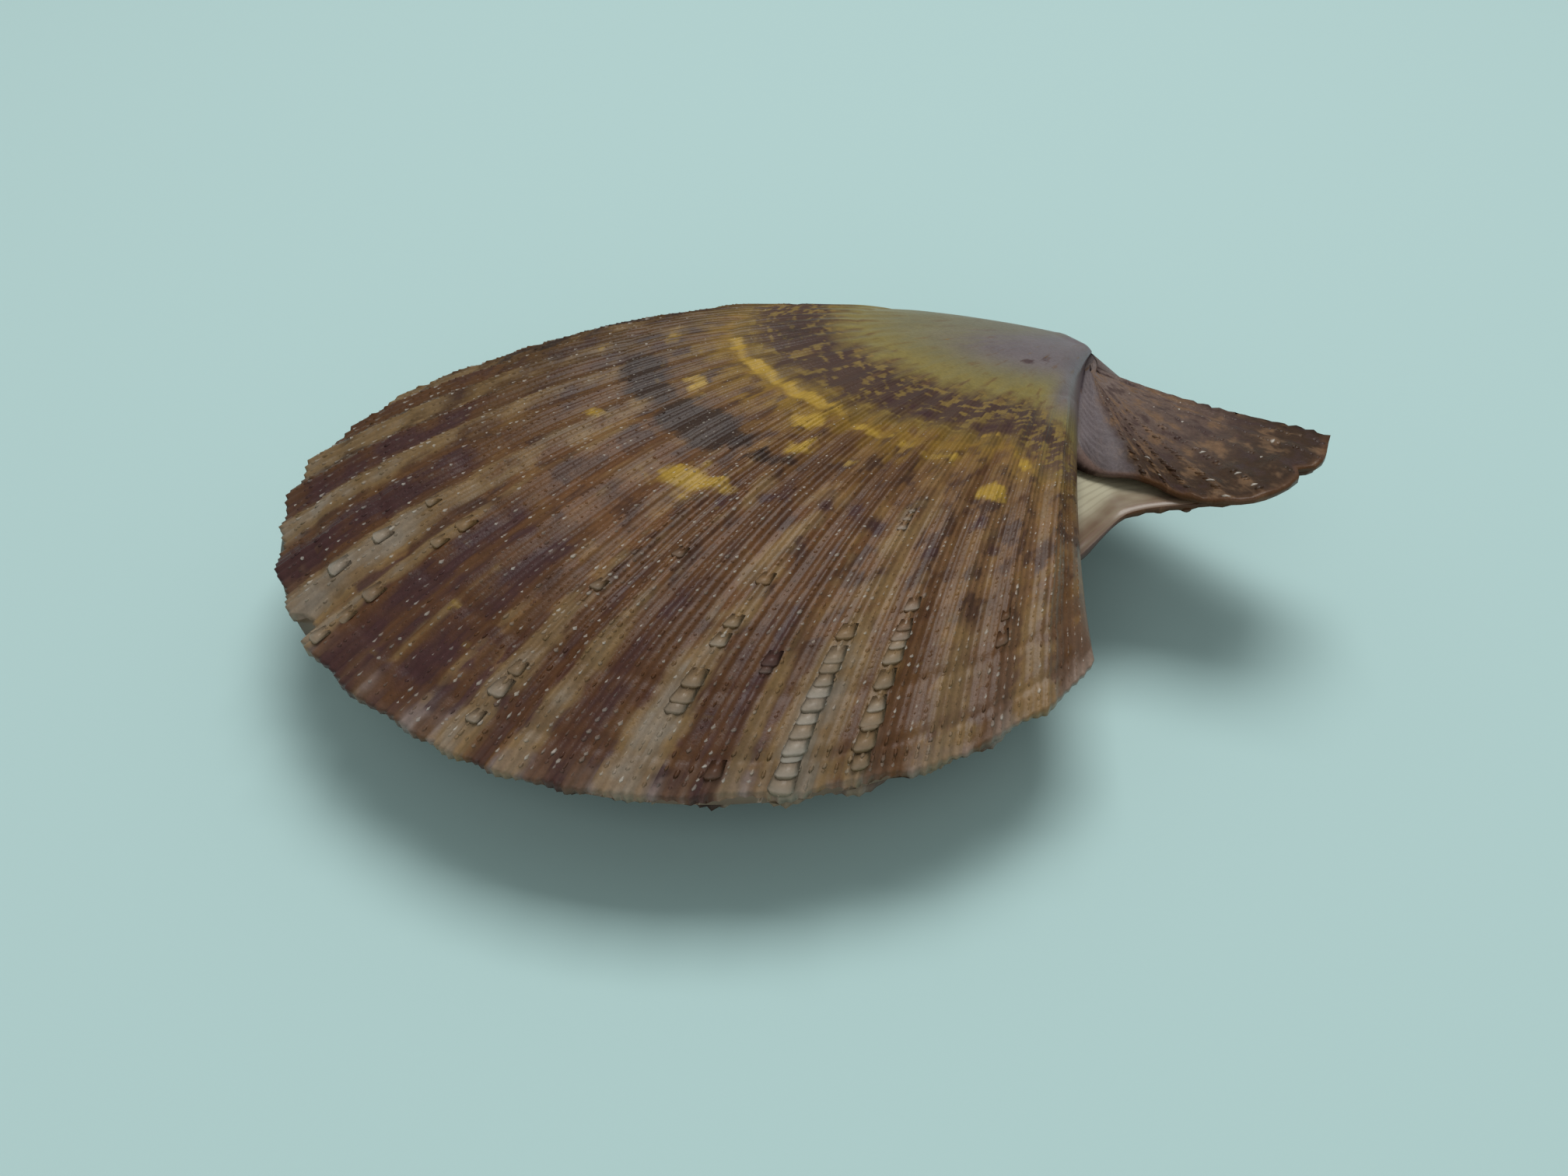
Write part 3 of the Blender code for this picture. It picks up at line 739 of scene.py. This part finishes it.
# %% [markdown]
# ## Scales
# The name squamosa means scaly. As the margin grew, each riblet put up a small scale every half
# millimetre or so, and the main crests larger ones that arch up with thin pale lips, nested like
# tiles along a ridge. A scale here is a closed wedge: a base line sunk in the crest, a tip line
# lifted off it towards the margin, and a foot line under the tip. All scales of one kind on a valve
# are one mesh, worked out as one array, with a different width, length and lift for each.

# %% Wedge scales from arrays
SCALE_SINK = 0.06 * MM
SPOT_CLEARANCE = 0.45 * MM
LINES = 3
WHITE_LINES = np.array([0.1, 1.0, 0.2])
# Crest value at base, tip and foot of a scale: the calcite paints shade where it is below 1, so bases and
# feet are a little darker.
CREST_LINES = np.array([0.9, 1.0, 0.8])
FINE = {"suffix": "", "width": (0.09, 0.18), "length": (0.24, 0.46), "lift": (0.020, 0.055),
        "across": 3, "arch": 0.5, "front": 1.4}
CREST = {"suffix": "_crest", "width": (0.28, 1.18), "length": (0.40, 1.15), "lift": (0.03, 0.13),
         "across": 7, "arch": 0.95, "front": 1.2}
EAR = {"suffix": "_ear", "width": (0.20, 0.48), "length": (0.22, 0.44), "lift": (0.03, 0.085),
       "across": 5, "arch": 0.6, "front": 1.2}


def sample_grid(grid, row, column):
    """Bilinear reading of a grid at fractional rows and columns, which are arrays of equal length."""
    low_row = np.clip(np.floor(row).astype(int), 0, grid.shape[0] - 2)
    low_column = np.clip(np.floor(column).astype(int), 0, grid.shape[1] - 2)
    u = (row - low_row)[:, None]
    v = (column - low_column)[:, None]
    upper = grid[low_row, low_column] * (1.0 - v) + grid[low_row, low_column + 1] * v
    lower = grid[low_row + 1, low_column] * (1.0 - v) + grid[low_row + 1, low_column + 1] * v
    return upper * (1.0 - u) + lower * u


def scale_lines(middle, kind, span, width, length, lift):
    """Base, tip and foot line of each scale: the tip's arch is the square root of 1 - offset squared."""
    centre, sideways, onward, normal = middle
    bow = np.sqrt(1.0 - 0.98 * span**2)
    sink = SCALE_SINK * normal
    reach = length * (0.60 + 0.15 * bow) * onward
    rise = lift * ((1.0 - kind["arch"]) + kind["arch"] * bow) * normal
    root = centre + 0.42 * width * span * sideways
    base = root - sink * (1.0 + np.abs(span)) - 0.35 * length * onward
    tip = centre + 0.5 * width * span * sideways + reach + rise - 0.8 * sink * np.abs(span)
    return np.stack([base, tip, root + kind["front"] * reach - 1.5 * sink], axis=1)


def wedge_scales(valve, kind, growth, column, grown, factors, white):
    """One mesh of scales; grown runs each size in mm from young to old, and factors vary it."""
    row = np.interp(growth, GROWTH, np.arange(ROWS))
    grid = valve["grid"]
    centre = sample_grid(grid, row, column)
    sideways = unit(sample_grid(grid, row, column + 0.5) - sample_grid(grid, row, column - 0.5))
    onward = unit(sample_grid(grid, row + 0.5, column) - sample_grid(grid, row - 0.5, column))
    normal = unit(np.cross(sideways, onward))
    normal = normal * np.sign(normal[:, 2:3]) * valve["side"]
    keep = np.isfinite(normal).all(axis=1) & (np.abs(place(centre)[:, 2]) > SPOT_CLEARANCE)
    middle = [part[keep][:, None, :] for part in (centre, sideways, onward, normal)]
    sizes = []
    for key, factor in zip(("width", "length", "lift"), factors):
        young, old = kind[key]
        sizes.append((factor * (young + (old - young) * grown) * MM)[keep][:, None, None])
    across = kind["across"]
    points = scale_lines(middle, kind, np.linspace(-1.0, 1.0, across)[None, :, None], *sizes)
    count = len(points)
    number = np.arange(count * LINES * across).reshape(count, LINES, across)
    onto = np.roll(number, -1, axis=1)
    quads = np.stack([number[..., :-1], onto[..., :-1], onto[..., 1:], number[..., 1:]], axis=-1)
    caps = np.stack([number[:, ::-1, 0], number[:, :, -1]], axis=1)
    values = {}
    for key, field in valve["fields"].items():
        here = sample_grid(field[..., None], row[keep], column[keep])
        values[key] = np.repeat(here[:, 0], LINES * across)
    tone = WHITE_LINES[None, :, None] * white[keep][:, None, None] * np.ones(across)
    values["white"] = np.clip(tone, 0.0, 1.0).ravel()
    values["crest"] = (CREST_LINES[None, :, None] * np.ones((count, LINES, across))).ravel()
    name = valve["name"] + "_scales" + kind["suffix"]
    return add_mesh(name, points.reshape(-1, 3), quads.reshape(-1, 4), caps.reshape(-1, 3), values)


print("a full-grown crest scale is", CREST["width"][1], "mm wide and stands", CREST["lift"][1], "mm high")

# %% [markdown]
# ## Where scales stand
# Fine scales stand at even steps along each riblet, each one a little astray, thinned out towards
# the beak and worn off here and there; about half have a pale tip, most of them dull and a few
# bright. The pale tips are partly the scales' own worn white and partly painted glints, so more
# of them are pale in one patch of the disc where glints gather. The larger scales stand on the
# main crests and only near the margin. The ears have their own rows. One seeded generator for
# each kind keeps a shell the same from run to run.

# %% Fine, crest and ear scales
SCALE_SPACING = 0.44 * MM
SCALE_START = 0.35
CREST_SPACING = 0.75 * MM
CREST_START = 0.60
CREST_SCALE_RAYS = [(24, 1.2, 1), (27, 1.2, 0.9), (21, 1, 0.7), (16.2, 1.2, 0.7), (-5.1, 1.2, 0.6),
                    (-8.4, 1.2, 0.6), (31.7, 1.2, 0.5), (34.7, 1.2, 0.5), (10.1, 1, 0.4), (6.8, 1, 0.4)]
EAR_STEPS = np.arange(0.30, 0.985, 0.017)


def riblet_places(random, numbers, spacing, start, end):
    """Degrees, growth and column of the scales: even steps along each riblet, each one a little astray."""
    step = spacing / SHELL_HEIGHT
    number, growth = np.meshgrid(numbers, np.arange(start, end, step), indexing="ij")
    offset = random.uniform(0.0, step, (len(numbers), 1))
    growth = (growth + offset + random.normal(0.0, 0.15 * step, growth.shape)).ravel()
    number = number.ravel()
    first = EAR_COLUMNS + FLANK_COLUMNS + RIBS_BEHIND * COLUMNS_PER_RIB
    return np.degrees(rib_ray(number / RIBLETS)), growth, first + number * COLUMNS_PER_RIBLET


def fine_scales(valve):
    """Small scales on every riblet, thinned out towards the beak and worn off here and there."""
    random = np.random.default_rng(valve["seed"] + 100)
    end = valve["scale_end"]
    degrees, growth, column = riblet_places(random, np.arange(-66, 66), SCALE_SPACING, SCALE_START, end)
    ahead = smooth_step(26.0, 33.0, degrees) * smooth_step(0.35, 0.38, growth)
    young = smooth_step(0.42, 0.48, growth) + ahead
    share = (0.3 + 0.6 * smooth_step(0.44, 0.66, growth)) * np.clip(young, 0.0, 1.0)
    keep = (random.uniform(0.0, 1.0, len(growth)) <= share) & (growth < end)
    degrees, growth, column = degrees[keep], growth[keep], column[keep]
    count = len(growth)
    factors = [random.uniform(low, high, count) for low, high in ((0.6, 1.4), (0.7, 1.5), (0.5, 1.2))]
    # Painted glints: the pale tips of fine scales also stand in for glints, and in this patch more of them
    # are pale.
    glint_patch = np.exp(-((degrees - 12.0) / 12.0) ** 2 - ((growth - 0.71) / 0.10) ** 2)
    pale = random.uniform(0.0, 1.0, count) < 0.42 + 0.28 * glint_patch
    pale_tip_and_glint_tone = 0.3 + 0.6 * random.uniform(0.0, 1.0, count) ** 2.0
    white = np.where(pale, pale_tip_and_glint_tone, random.uniform(0.0, 0.15, count))
    return wedge_scales(valve, FINE, growth, column, smooth_step(0.35, 0.9, growth), factors, white)


def crest_scales(valve):
    """Larger arched scales on the main crests, nested towards the margin."""
    random = np.random.default_rng(valve["seed"] + 200)
    crests = np.arange(-10, 11) * RIBLETS
    degrees, growth, column = riblet_places(
        random, crests, CREST_SPACING, CREST_START, valve["scale_end"] - 0.015)
    strong = [power * np.exp(-((degrees - at) / half) ** 2) for at, half, power in CREST_SCALE_RAYS]
    strong = np.max(strong, axis=0)
    share = strong**2.2 * (0.1 + 0.9 * smooth_step(0.70, 0.88, growth))
    keep = random.uniform(0.0, 1.0, len(growth)) < share
    growth, column, strong = growth[keep], column[keep], 0.45 + 0.55 * strong[keep]
    count = len(growth)
    size = random.uniform(0.8, 1.15, count)
    factors = [size, size, random.uniform(0.7, 1.2, count)]
    white = random.uniform(0.30, 0.75, count) * strong
    grown = smooth_step(0.55, 0.93, growth) * strong
    return wedge_scales(valve, CREST, growth, column, grown, factors, white)


def ear_scales(valve):
    """Scales on the riblets of the front ear, a few of them white."""
    random = np.random.default_rng(valve["seed"] + 300)
    crest = FASCIOLE_SHARE + (1.0 - FASCIOLE_SHARE) * (np.arange(EAR_RIBLETS) + 0.5) / EAR_RIBLETS
    share, scale = np.meshgrid(crest, EAR_STEPS, indexing="ij")
    scale = scale + random.uniform(-0.012, 0.012, scale.shape)
    growth = scale.ravel() * GROWTH[valve["front_row"]]
    column = EAR_COLUMNS + len(RAY) - 1 + share.ravel() * EAR_COLUMNS
    keep = (random.uniform(0.0, 1.0, len(growth)) < 0.75) & (growth < GROWTH[valve["front_row"] - 1])
    growth, column = growth[keep], column[keep]
    count = len(growth)
    size = random.uniform(0.7, 1.25, count)
    grown = smooth_step(0.25, 0.9, growth / GROWTH[valve["front_row"]])
    white = np.where(random.uniform(0.0, 1.0, count) < 0.12, 0.9, random.uniform(0.0, 0.25, count))
    return wedge_scales(valve, EAR, growth, column, grown, [size] * 3, white)


for valve in (RIGHT, LEFT):
    valve["pieces"] = [valve["shell"], fine_scales(valve), crest_scales(valve), ear_scales(valve)]

# %% [markdown]
# ## Which solid each piece stands for
# Both fine valves take the place of their plain solids. Shells and scales ride on the one body.

# %% Ride and replace
for valve in (RIGHT, LEFT):
    for piece in valve["pieces"]:
        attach(piece, "root")
    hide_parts(valve["name"] + "_valve")
    print(valve["shell"].name, "replaces", valve["name"] + "_valve")

# %% [markdown]
# ## Nodes and colours
# A material is a tree of nodes. A recipe names a kind of node with its settings, and one function
# adds any node from it: it fills the inputs that are in use, in their order, with values or links,
# and gives back one output. Masks are soft steps of a number carried by the mesh, and a tint is
# laid over a colour by such a mask. Colours are sRGB hex values, turned to linear light once.

# %% One function for nodes
TIMES, PLUS, MINUS, TIMES_PLUS, ROUND, SINE, POWER = (
    ("Math", {"operation": name})
    for name in ("MULTIPLY", "ADD", "SUBTRACT", "MULTIPLY_ADD", "ROUND", "SINE", "POWER"))
NOISE, VECTOR, GREY, RAMP, BUMP, EVEN, POINT, TURNED = (
    (kind, {}) for kind in
    ("TexNoise", "CombineXYZ", "CombineColor", "ValToRGB", "Bump", "MapRange", "TexCoord", "Mapping"))
SOFT = ("MapRange", {"interpolation_type": "SMOOTHSTEP"})
LAID_OVER = ("Mix", {"data_type": "RGBA"})
SHADED_BY = ("Mix", {"data_type": "RGBA", "blend_type": "MULTIPLY"})


def linear(hex_colour):
    """sRGB hex string to linear RGBA."""
    parts = np.array([int(hex_colour[k : k + 2], 16) for k in (1, 3, 5)]) / 255.0
    curved = np.where(parts <= 0.04045, parts / 12.92, ((parts + 0.055) / 1.055) ** 2.4)
    return (*curved, 1.0)


def fill(socket, value):
    """Gives an input a value or a link from another node's output; None leaves it as it is."""
    if isinstance(value, bpy.types.NodeSocket):
        socket.id_data.links.new(value, socket)
    elif value is not None:
        socket.default_value = value


def add(tree, recipe, *values, output=None, stops=()):
    """Adds a node by its kind and settings, with values or links and colour stops; gives one output."""
    kind, settings = recipe
    made = tree.nodes.new("ShaderNode" + kind)
    for key, value in settings.items():
        setattr(made, key, value)
    for socket, value in zip([socket for socket in made.inputs if socket.enabled], values):
        fill(socket, value)
    for number, (at, colour) in enumerate(stops):
        band = made.color_ramp.elements
        element = band[number] if number < len(band) else band.new(at)
        element.position = at
        element.color = linear(colour)
    return made.outputs[output] if output else next(socket for socket in made.outputs if socket.enabled)


def new_material(name, *keys):
    """A material, the function that adds its nodes, its shader's inputs, and the mesh numbers it reads."""
    made = bpy.data.materials.new(name)
    made.use_nodes = True
    node = partial(add, made.node_tree)
    read = {key: node(("Attribute", {"attribute_name": key}), output="Fac") for key in keys}
    return made, node, made.node_tree.nodes["Principled BSDF"].inputs, read


def washed(node, colour, looks, washes):
    """Lays tints over a colour: each share is a soft step of a number, times the masks that follow it."""
    for tint, value, low, high, at_low, at_high, *masks in washes:
        share = node(SOFT, value, low, high, at_low, at_high)
        for mask in masks:
            share = node(TIMES, mask, share)
        colour = node(LAID_OVER, share, colour, linear(looks[tint]))
    return colour


print("olive in linear light:", np.round(linear("#82733f")[:3], 3))

# %% [markdown]
# ## Colours of the disc
# Colour was laid down at the margin: what one growth line shows is what the mantle secreted that
# week. So the base colour is a ramp along growth: a smooth grey umbo, an olive border, a
# purple-brown band, a yellow line, then ochre and brown to a grey-pink margin. Rays and patches are
# laid over it. Each riblet was fed separately, so noise is read per riblet, which gives short
# dashes in line with the ribs instead of clouds.

# %% Ramp, washes, rays and spots
PATCH = (1.5, 0.36, 3.0)
DASH = (0.47, 0.62, 1.0)
TICK = (0.33, 1.5, 1.0)


def painted(node, looks, read):
    """Colour of the disc: the ramp along growth, then washes, ticks, streaks, rays and spots over it.

    PATCH, DASH and TICK are noise cells across (per rib or riblet) and along (per mm), and detail:
    patches 2.8 mm long over the ribs, dashes 1.6 mm and ticks 0.7 mm long on single riblets.
    """
    bands, growth, phase, front = (read[key] for key in ("bands", "growth", "phase", "front"))
    riblet = node(ROUND, node(TIMES, phase, RIBLETS))
    along = node(TIMES, growth, SHELL_HEIGHT / MM)
    noises = []
    for across, (per_step, per_mm, detail) in ((phase, PATCH), (riblet, DASH), (riblet, TICK)):
        spot = node(VECTOR, node(TIMES, across, per_step), node(TIMES, along, per_mm))
        noises.append(node(NOISE, spot, 1.0, detail, 0.5))
    patch, dash, tick = noises
    even_patch, even_dash, even_tick = (node(MINUS, noise, 0.5) for noise in noises)
    shift = node(TIMES_PLUS, even_patch, 0.08, node(TIMES, even_dash, 0.05))
    colour = node(RAMP, node(PLUS, bands, shift), stops=looks["stops"])
    steps = (
        (node(TIMES_PLUS, patch, 8.0, phase), -0.5, 5.5), (phase, 8.0, 9.8), (patch, 0.50, 0.64),
        (phase, -7.0, -0.5, 1.0, 0.0), (bands, 0.345, 0.37), (bands, 0.46, 0.49, 1.0, 0.0),
        (bands, 0.46, 0.54), (bands, 0.80, 0.90, 1.0, 0.0),
    )
    ahead, flank, cloud, hind, in_band, before_line, in_brown, before_stop = (
        node(SOFT, *step) for step in steps)
    ticks = node(TIMES_PLUS, even_patch, 0.8, node(TIMES_PLUS, front, 0.07, tick))
    streaks = node(TIMES_PLUS, node(MINUS, 1.0, patch), 1.3, dash)
    washes = [
        ("lavender", growth, 0.20, 0.31, 0.85, 0.0, ahead),
        ("lavender", growth, 0.34, 0.46, 0.8, 0.0, flank),
        ("front", growth, 0.45, 0.62, 0.0, 0.35, front),
        ("golden", growth, 0.46, 0.56, 0.0, 0.8, cloud),
        # The hind wash is partly the hind side's own olive-brown and partly painted shade on the side that
        # faces the key lamp.
        ("hind", growth, 0.48, 0.56, 0.0, 0.6, hind),
        ("tick", ticks, 0.52, 0.68, 0.0, 0.7, in_band, before_line),
        ("streak", streaks, 1.14, 1.36, 0.0, 0.8, in_brown, before_stop),
    ]
    marks = (
        ("dark", "rust", 0.8, even_patch, 1.0, 0.05, 0.45, 0.8),
        ("dark", "dark", 0.8, even_patch, 1.0, 0.40, 0.90, 0.92),
        ("pale", "cream", 0.8, even_patch, 1.0, 0.15, 0.60, 0.65),
        ("pale", "chalk", 0.8, even_patch, 1.0, 0.60, 1.15, 0.7),
        ("slate", "slate", 1.1, even_tick, 0.6, 0.25, 0.75, 0.9),
        ("purple", "dark", 1.1, even_tick, 0.6, 0.25, 0.75, 0.85),
        ("yellow", "yellow", 1.1, even_tick, 0.6, 0.25, 0.75, 0.95),
    )
    for key, tint, by_dash, other, by_other, low, high, strength in marks:
        amount = node(TIMES_PLUS, even_dash, by_dash, read[key])
        amount = node(TIMES_PLUS, other, by_other, amount)
        washes.append((tint, amount, low, high, 0.0, strength))
    return washed(node, colour, looks, washes)


# %% [markdown]
# ## Colours of the ears
# The ear's strip beside the disc, the fasciole, is smooth and grey. The rest is rough and
# purple-brown, mottled along its rows, and darker and warmer towards the free edge.

# %% Mottled ears
EAR_MOTTLES = (16.0, 9.0)


def ear_painted(node, looks, read, blotch):
    """Colour of the ears: a ramp towards the rim, pale and dark mottles, then fasciole and worn rim."""
    ear, rim = read["ear"], read["rim"]
    along = node(VECTOR, *(node(TIMES, *pair) for pair in zip((ear, rim), EAR_MOTTLES)))
    streak = node(NOISE, along, 1.0, 3.0, 0.6)
    speck = node(PLUS, node(NOISE, along, 3.6, 2.0, 0.6), 0.52)
    edge = node(TIMES_PLUS, node(MINUS, blotch, 0.5), 0.25, ear)
    colour = node(RAMP, rim, stops=looks["ear_stops"])
    colour = washed(node, colour, looks, [("ear_pale", streak, 0.50, 0.64, 0.0, 0.75)])
    colour = node(SHADED_BY, 1.0, colour, node(GREY, speck, speck, speck))
    return washed(node, colour, looks, [
        ("ear_dark", streak, 0.34, 0.48, 0.8, 0.0),
        ("fasciole", edge, FASCIOLE_SHARE - 0.08, FASCIOLE_SHARE + 0.05, 0.85, 0.0),
        ("ear_rim", rim, 0.965, 0.995, 0.0, 0.45),
    ])


# %% [markdown]
# ## Banded calcite
# The outer layer is foliated calcite, laid down in sheets: opaque, with a soft satin gloss and no
# sparkle, so roughness is a third and specular level low. Troughs between riblets are darkened
# with painted shade. The scales' lips are worn white, and on the fine scales this white also
# stands for painted glints. A grain of a fifth of a millimetre breaks the highlight. The finest
# lamellae of the ears are bump, because the mesh is too coarse for them.

# %% Calcite of both valves
GRAINS_PER_MM = 5.2
BLOTCHES_PER_MM = 0.42
EAR_LAMELLA_CELLS = (34.0, 30.0)
TROUGH_SHADE = 0.17
GRAIN_DEPTH = 0.04 * MM


def banded_calcite(name, looks):
    """Outer calcite of a valve: painted shade in the troughs, worn white scale tips that on fine scales also
    stand for painted glints, and a fine grain.
    """
    made, node, shader, read = new_material(name, *RIGHT["fields"])
    growth, ear = read["growth"], read["ear"]
    here = node(POINT, output="Object")
    grain = node(NOISE, here, GRAINS_PER_MM / MM, 3.0, 0.6)
    blotch = node(NOISE, here, BLOTCHES_PER_MM / MM, 4.0, 0.6)
    on_ear = node(SOFT, ear, 0.0, 0.03)
    colour = painted(node, looks, read)
    colour = node(LAID_OVER, on_ear, colour, ear_painted(node, looks, read, blotch))
    # Painted shade: troughs between riblets, and the bases and feet of scales, are darkened by up to
    # TROUGH_SHADE; grain and blotch add mottle to the same factor.
    low = node(MINUS, 1.0, read["crest"])
    trough = node(TIMES, node(SOFT, growth, 0.33, 0.6), low)
    trough_shade_and_mottle = node(TIMES_PLUS, trough, -TROUGH_SHADE, 1.0)
    for pattern, least in ((grain, looks["light"] - 0.25), (blotch, 0.75)):
        trough_shade_and_mottle = node(TIMES, trough_shade_and_mottle, node(TIMES_PLUS, pattern, 0.5, least))
    colour = node(SHADED_BY, 1.0, colour, node(GREY, trough_shade_and_mottle, trough_shade_and_mottle, trough_shade_and_mottle))
    # Worn white scale lips, which on the fine scales also stand in for painted glints.
    pale_lip_and_glint = node(TIMES, node(POWER, read["white"], 2.0), 0.9)
    fill(shader["Base Color"], node(LAID_OVER, pale_lip_and_glint, colour, linear(looks["scale"])))
    fill(shader["Roughness"], node(EVEN, growth, 0.2, 0.6, 0.34, 0.36))
    pairs = zip((ear, read["rim"]), EAR_LAMELLA_CELLS)
    cells = node(VECTOR, *(node(TIMES, *pair) for pair in pairs))
    lamellae = node(TIMES, node(NOISE, cells, 1.0, 3.0, 0.6), on_ear)
    height = node(TIMES_PLUS, lamellae, 3.0, grain)
    fill(shader["Normal"], node(BUMP, 0.5, GRAIN_DEPTH, None, height))
    fill(shader["Specular IOR Level"], 0.2)
    print(name, len(made.node_tree.nodes), "nodes")
    return made


UPPER_LOOKS = {
    "stops": [(0.0, "#6d6260"), (0.10, "#706758"), (0.19, "#746c54"), (0.27, "#776e4c"),
              (0.338, "#82733f"), (0.366, "#6a5632"), (0.388, "#46312a"), (0.45, "#4e382b"),
              (0.478, "#735a29"), (0.50, "#866626"), (0.56, "#684826"), (0.66, "#644024"),
              (0.76, "#6c492c"), (0.86, "#583a28"), (0.885, "#4a2a1b"), (0.90, "#56382d"),
              (0.95, "#4b3330"), (0.962, "#4a3735"), (0.975, "#7a6862"), (1.0, "#887a72")],
    # The hind tint is partly the hind side's own tone and partly painted shade where the key lamp falls.
    "lavender": "#6c6066", "front": "#86694a", "hind": "#443418", "golden": "#85633a", "yellow": "#ac8a36",
    "tick": "#8a7138", "streak": "#402a22", "slate": "#32231c", "dark": "#412829", "rust": "#5a3a20",
    # The scale colour is that of worn white lips, which on fine scales also stands for painted glints.
    "cream": "#866d4a", "chalk": "#8a8074", "scale": "#cfc8bd", "light": 1.0,
    "ear_stops": [(0.0, "#7c7270"), (0.3, "#69574e"), (0.6, "#5b483f"), (0.85, "#3c2818"), (1.0, "#342010")],
    "ear_pale": "#74583f", "ear_dark": "#402d2a", "fasciole": "#756c6e", "ear_rim": "#704e34",
}
LOWER_LOOKS = {
    **UPPER_LOOKS,
    "stops": [(0.0, "#7c7264"), (0.25, "#6e6048"), (0.34, "#4a3428"), (0.5, "#5c3c26"), (0.7, "#55301f"),
              (0.88, "#4a2a1e"), (0.94, "#3c2620"), (0.955, "#7d6c60"), (1.0, "#a3968a")],
    "front": "#6a4a36", "hind": "#3c2a1c", "golden": "#70502a", "yellow": "#86652c", "dark": "#2c1815",
    "rust": "#4c2c18", "cream": "#7a6448", "chalk": "#86705c", "light": 0.92,
}
RIGHT["calcite"] = banded_calcite("banded_calcite_upper", UPPER_LOOKS)
LEFT["calcite"] = banded_calcite("banded_calcite_lower", LOWER_LOOKS)

# %% [markdown]
# ## Porcelain inside
# The inner layer is dense calcite, smooth as glazed porcelain and a little yellow, so it is paler
# and glossier than the outside. Faint growth striae cross it about every millimetre and a half: a
# sine of growth gives them their even spacing. Towards their free edge the ears are stained brown.

# %% Porcelain inner layer
STRIAE = 220.0
CLOUDS_PER_MM = 0.3


def porcelain_inside(name):
    """Inner layer: a ramp along growth, cloudy, with striae that are a sine of growth."""
    made, node, shader, read = new_material(name, "growth", "ear", "rim")
    stops = [(0.0, "#c0baa0"), (0.5, "#c8c2a8"), (0.9, "#a89a84"), (1.0, "#74624f")]
    looks = {"cloud": "#a39a80", "stain": "#6b4c3c", "stria": "#8f846c"}
    cloud = node(NOISE, node(POINT, output="Object"), CLOUDS_PER_MM / MM, 3.0, 0.5)
    striae = node(TIMES_PLUS, cloud, 4.0, node(TIMES, read["growth"], STRIAE))
    striae = node(SINE, striae)
    on_ear = node(SOFT, read["ear"], 0.0, 0.03)
    colour = washed(node, node(RAMP, read["growth"], stops=stops), looks, [
        ("cloud", cloud, 0.4, 0.7, 0.0, 0.35),
        ("stain", node(TIMES_PLUS, cloud, 0.35, read["rim"]), 0.92, 1.14, 0.0, 0.8, on_ear),
        ("stria", striae, 0.2, 1.0, 0.0, 0.30),
    ])
    fill(shader["Base Color"], colour)
    fill(shader["Roughness"], 0.3)
    return made


inside = porcelain_inside("porcelain_inner_layer")
for valve in (RIGHT, LEFT):
    for piece in valve["pieces"]:
        piece.data.materials.append(valve["calcite"])
    valve["shell"].data.materials.append(inside)
print("inner faces use", inside.name)

# %% [markdown]
# ## The hinge band
# The band that joins the valves is horny protein, not calcite, so it dries brown-black and cracks
# across. It is a plain solid in the source and stays as it is; only its finish is made here, with
# growth layers a tenth of a millimetre thick along the hinge and fine drying cracks, which make it
# dull in patches.

# %% Dried ligament
LAYERS_PER_MM = 9.0
CRACKS_PER_MM = 4.0
CRACK_DEPTH = 0.05 * MM


def dried_ligament(name):
    """Brown-black layers along the hinge, dull where the dried protein has cracked."""
    made, node, shader, _ = new_material(name)
    here = node(POINT, output="Object")
    drawn = node(TURNED, here, None, None, (0.12, 1.0, 1.0))
    layers = node(NOISE, drawn, LAYERS_PER_MM / MM, 3.0, 0.6)
    cracks = node(NOISE, here, CRACKS_PER_MM / MM, 4.0, 0.7)
    stops = [(0.30, "#1c130e"), (0.55, "#33231a"), (0.75, "#5a4030")]
    fill(shader["Base Color"], node(RAMP, layers, stops=stops))
    fill(shader["Roughness"], node(EVEN, cracks, 0.3, 0.7, 0.35, 0.65))
    fill(shader["Normal"], node(BUMP, 0.6, CRACK_DEPTH, None, cracks))
    return made


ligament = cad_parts["hinge_ligament"]
ligament.data.materials.clear()
ligament.data.materials.append(dried_ligament("dried_ligament"))
print("pieces", len(RIGHT["pieces"] + LEFT["pieces"]), "and", ligament.name)

# %% [markdown]
# ## Floor and light
# A plain pale card and two soft lamps, as for a product picture. The stronger lamp stands high
# behind the shell, so riblets throw small shadows to the camera, and the weaker fills from the front.

# %% Floor card, lamps and sky
FLOOR_HALF = 1.5
LAMPS = {"key": ((-0.10, 0.13, 0.48), 0.32, 1.8), "fill": ((0.35, -0.40, 0.35), 0.5, 1.0)}
SKY_STRENGTH = 0.30


def add_floor():
    corners = [(x * FLOOR_HALF, y * FLOOR_HALF, 0) for x, y in ((-1, -1), (1, -1), (1, 1), (-1, 1))]
    mesh = bpy.data.meshes.new("floor")
    mesh.from_pydata(corners, [], [(0, 1, 2, 3)])
    floor = add_object("floor", mesh)
    made, _, shader, _ = new_material("floor_card")
    fill(shader["Base Color"], linear("#b2cfcd"))
    fill(shader["Roughness"], 0.8)
    floor.data.materials.append(made)


def add_lamp(name, spot, size, watts):
    """A square lamp of the given side in metres, aimed at the shell."""
    data = bpy.data.lights.new(name, "AREA")
    data.size = size
    data.energy = watts
    lamp = add_object(name, data)
    lamp.location = spot
    lamp.rotation_euler = (-Vector(spot)).to_track_quat("-Z", "Y").to_euler()


add_floor()
for name, (spot, size, watts) in LAMPS.items():
    add_lamp(name, spot, size, watts)
world = bpy.data.worlds.new("studio")
world.use_nodes = True
sky = world.node_tree.nodes["Background"].inputs
fill(sky["Color"], linear("#e6f2f1"))
fill(sky["Strength"], SKY_STRENGTH)
bpy.context.scene.world = world
bpy.context.scene.view_settings.view_transform = "Standard"
print("lamps:", ", ".join(LAMPS))
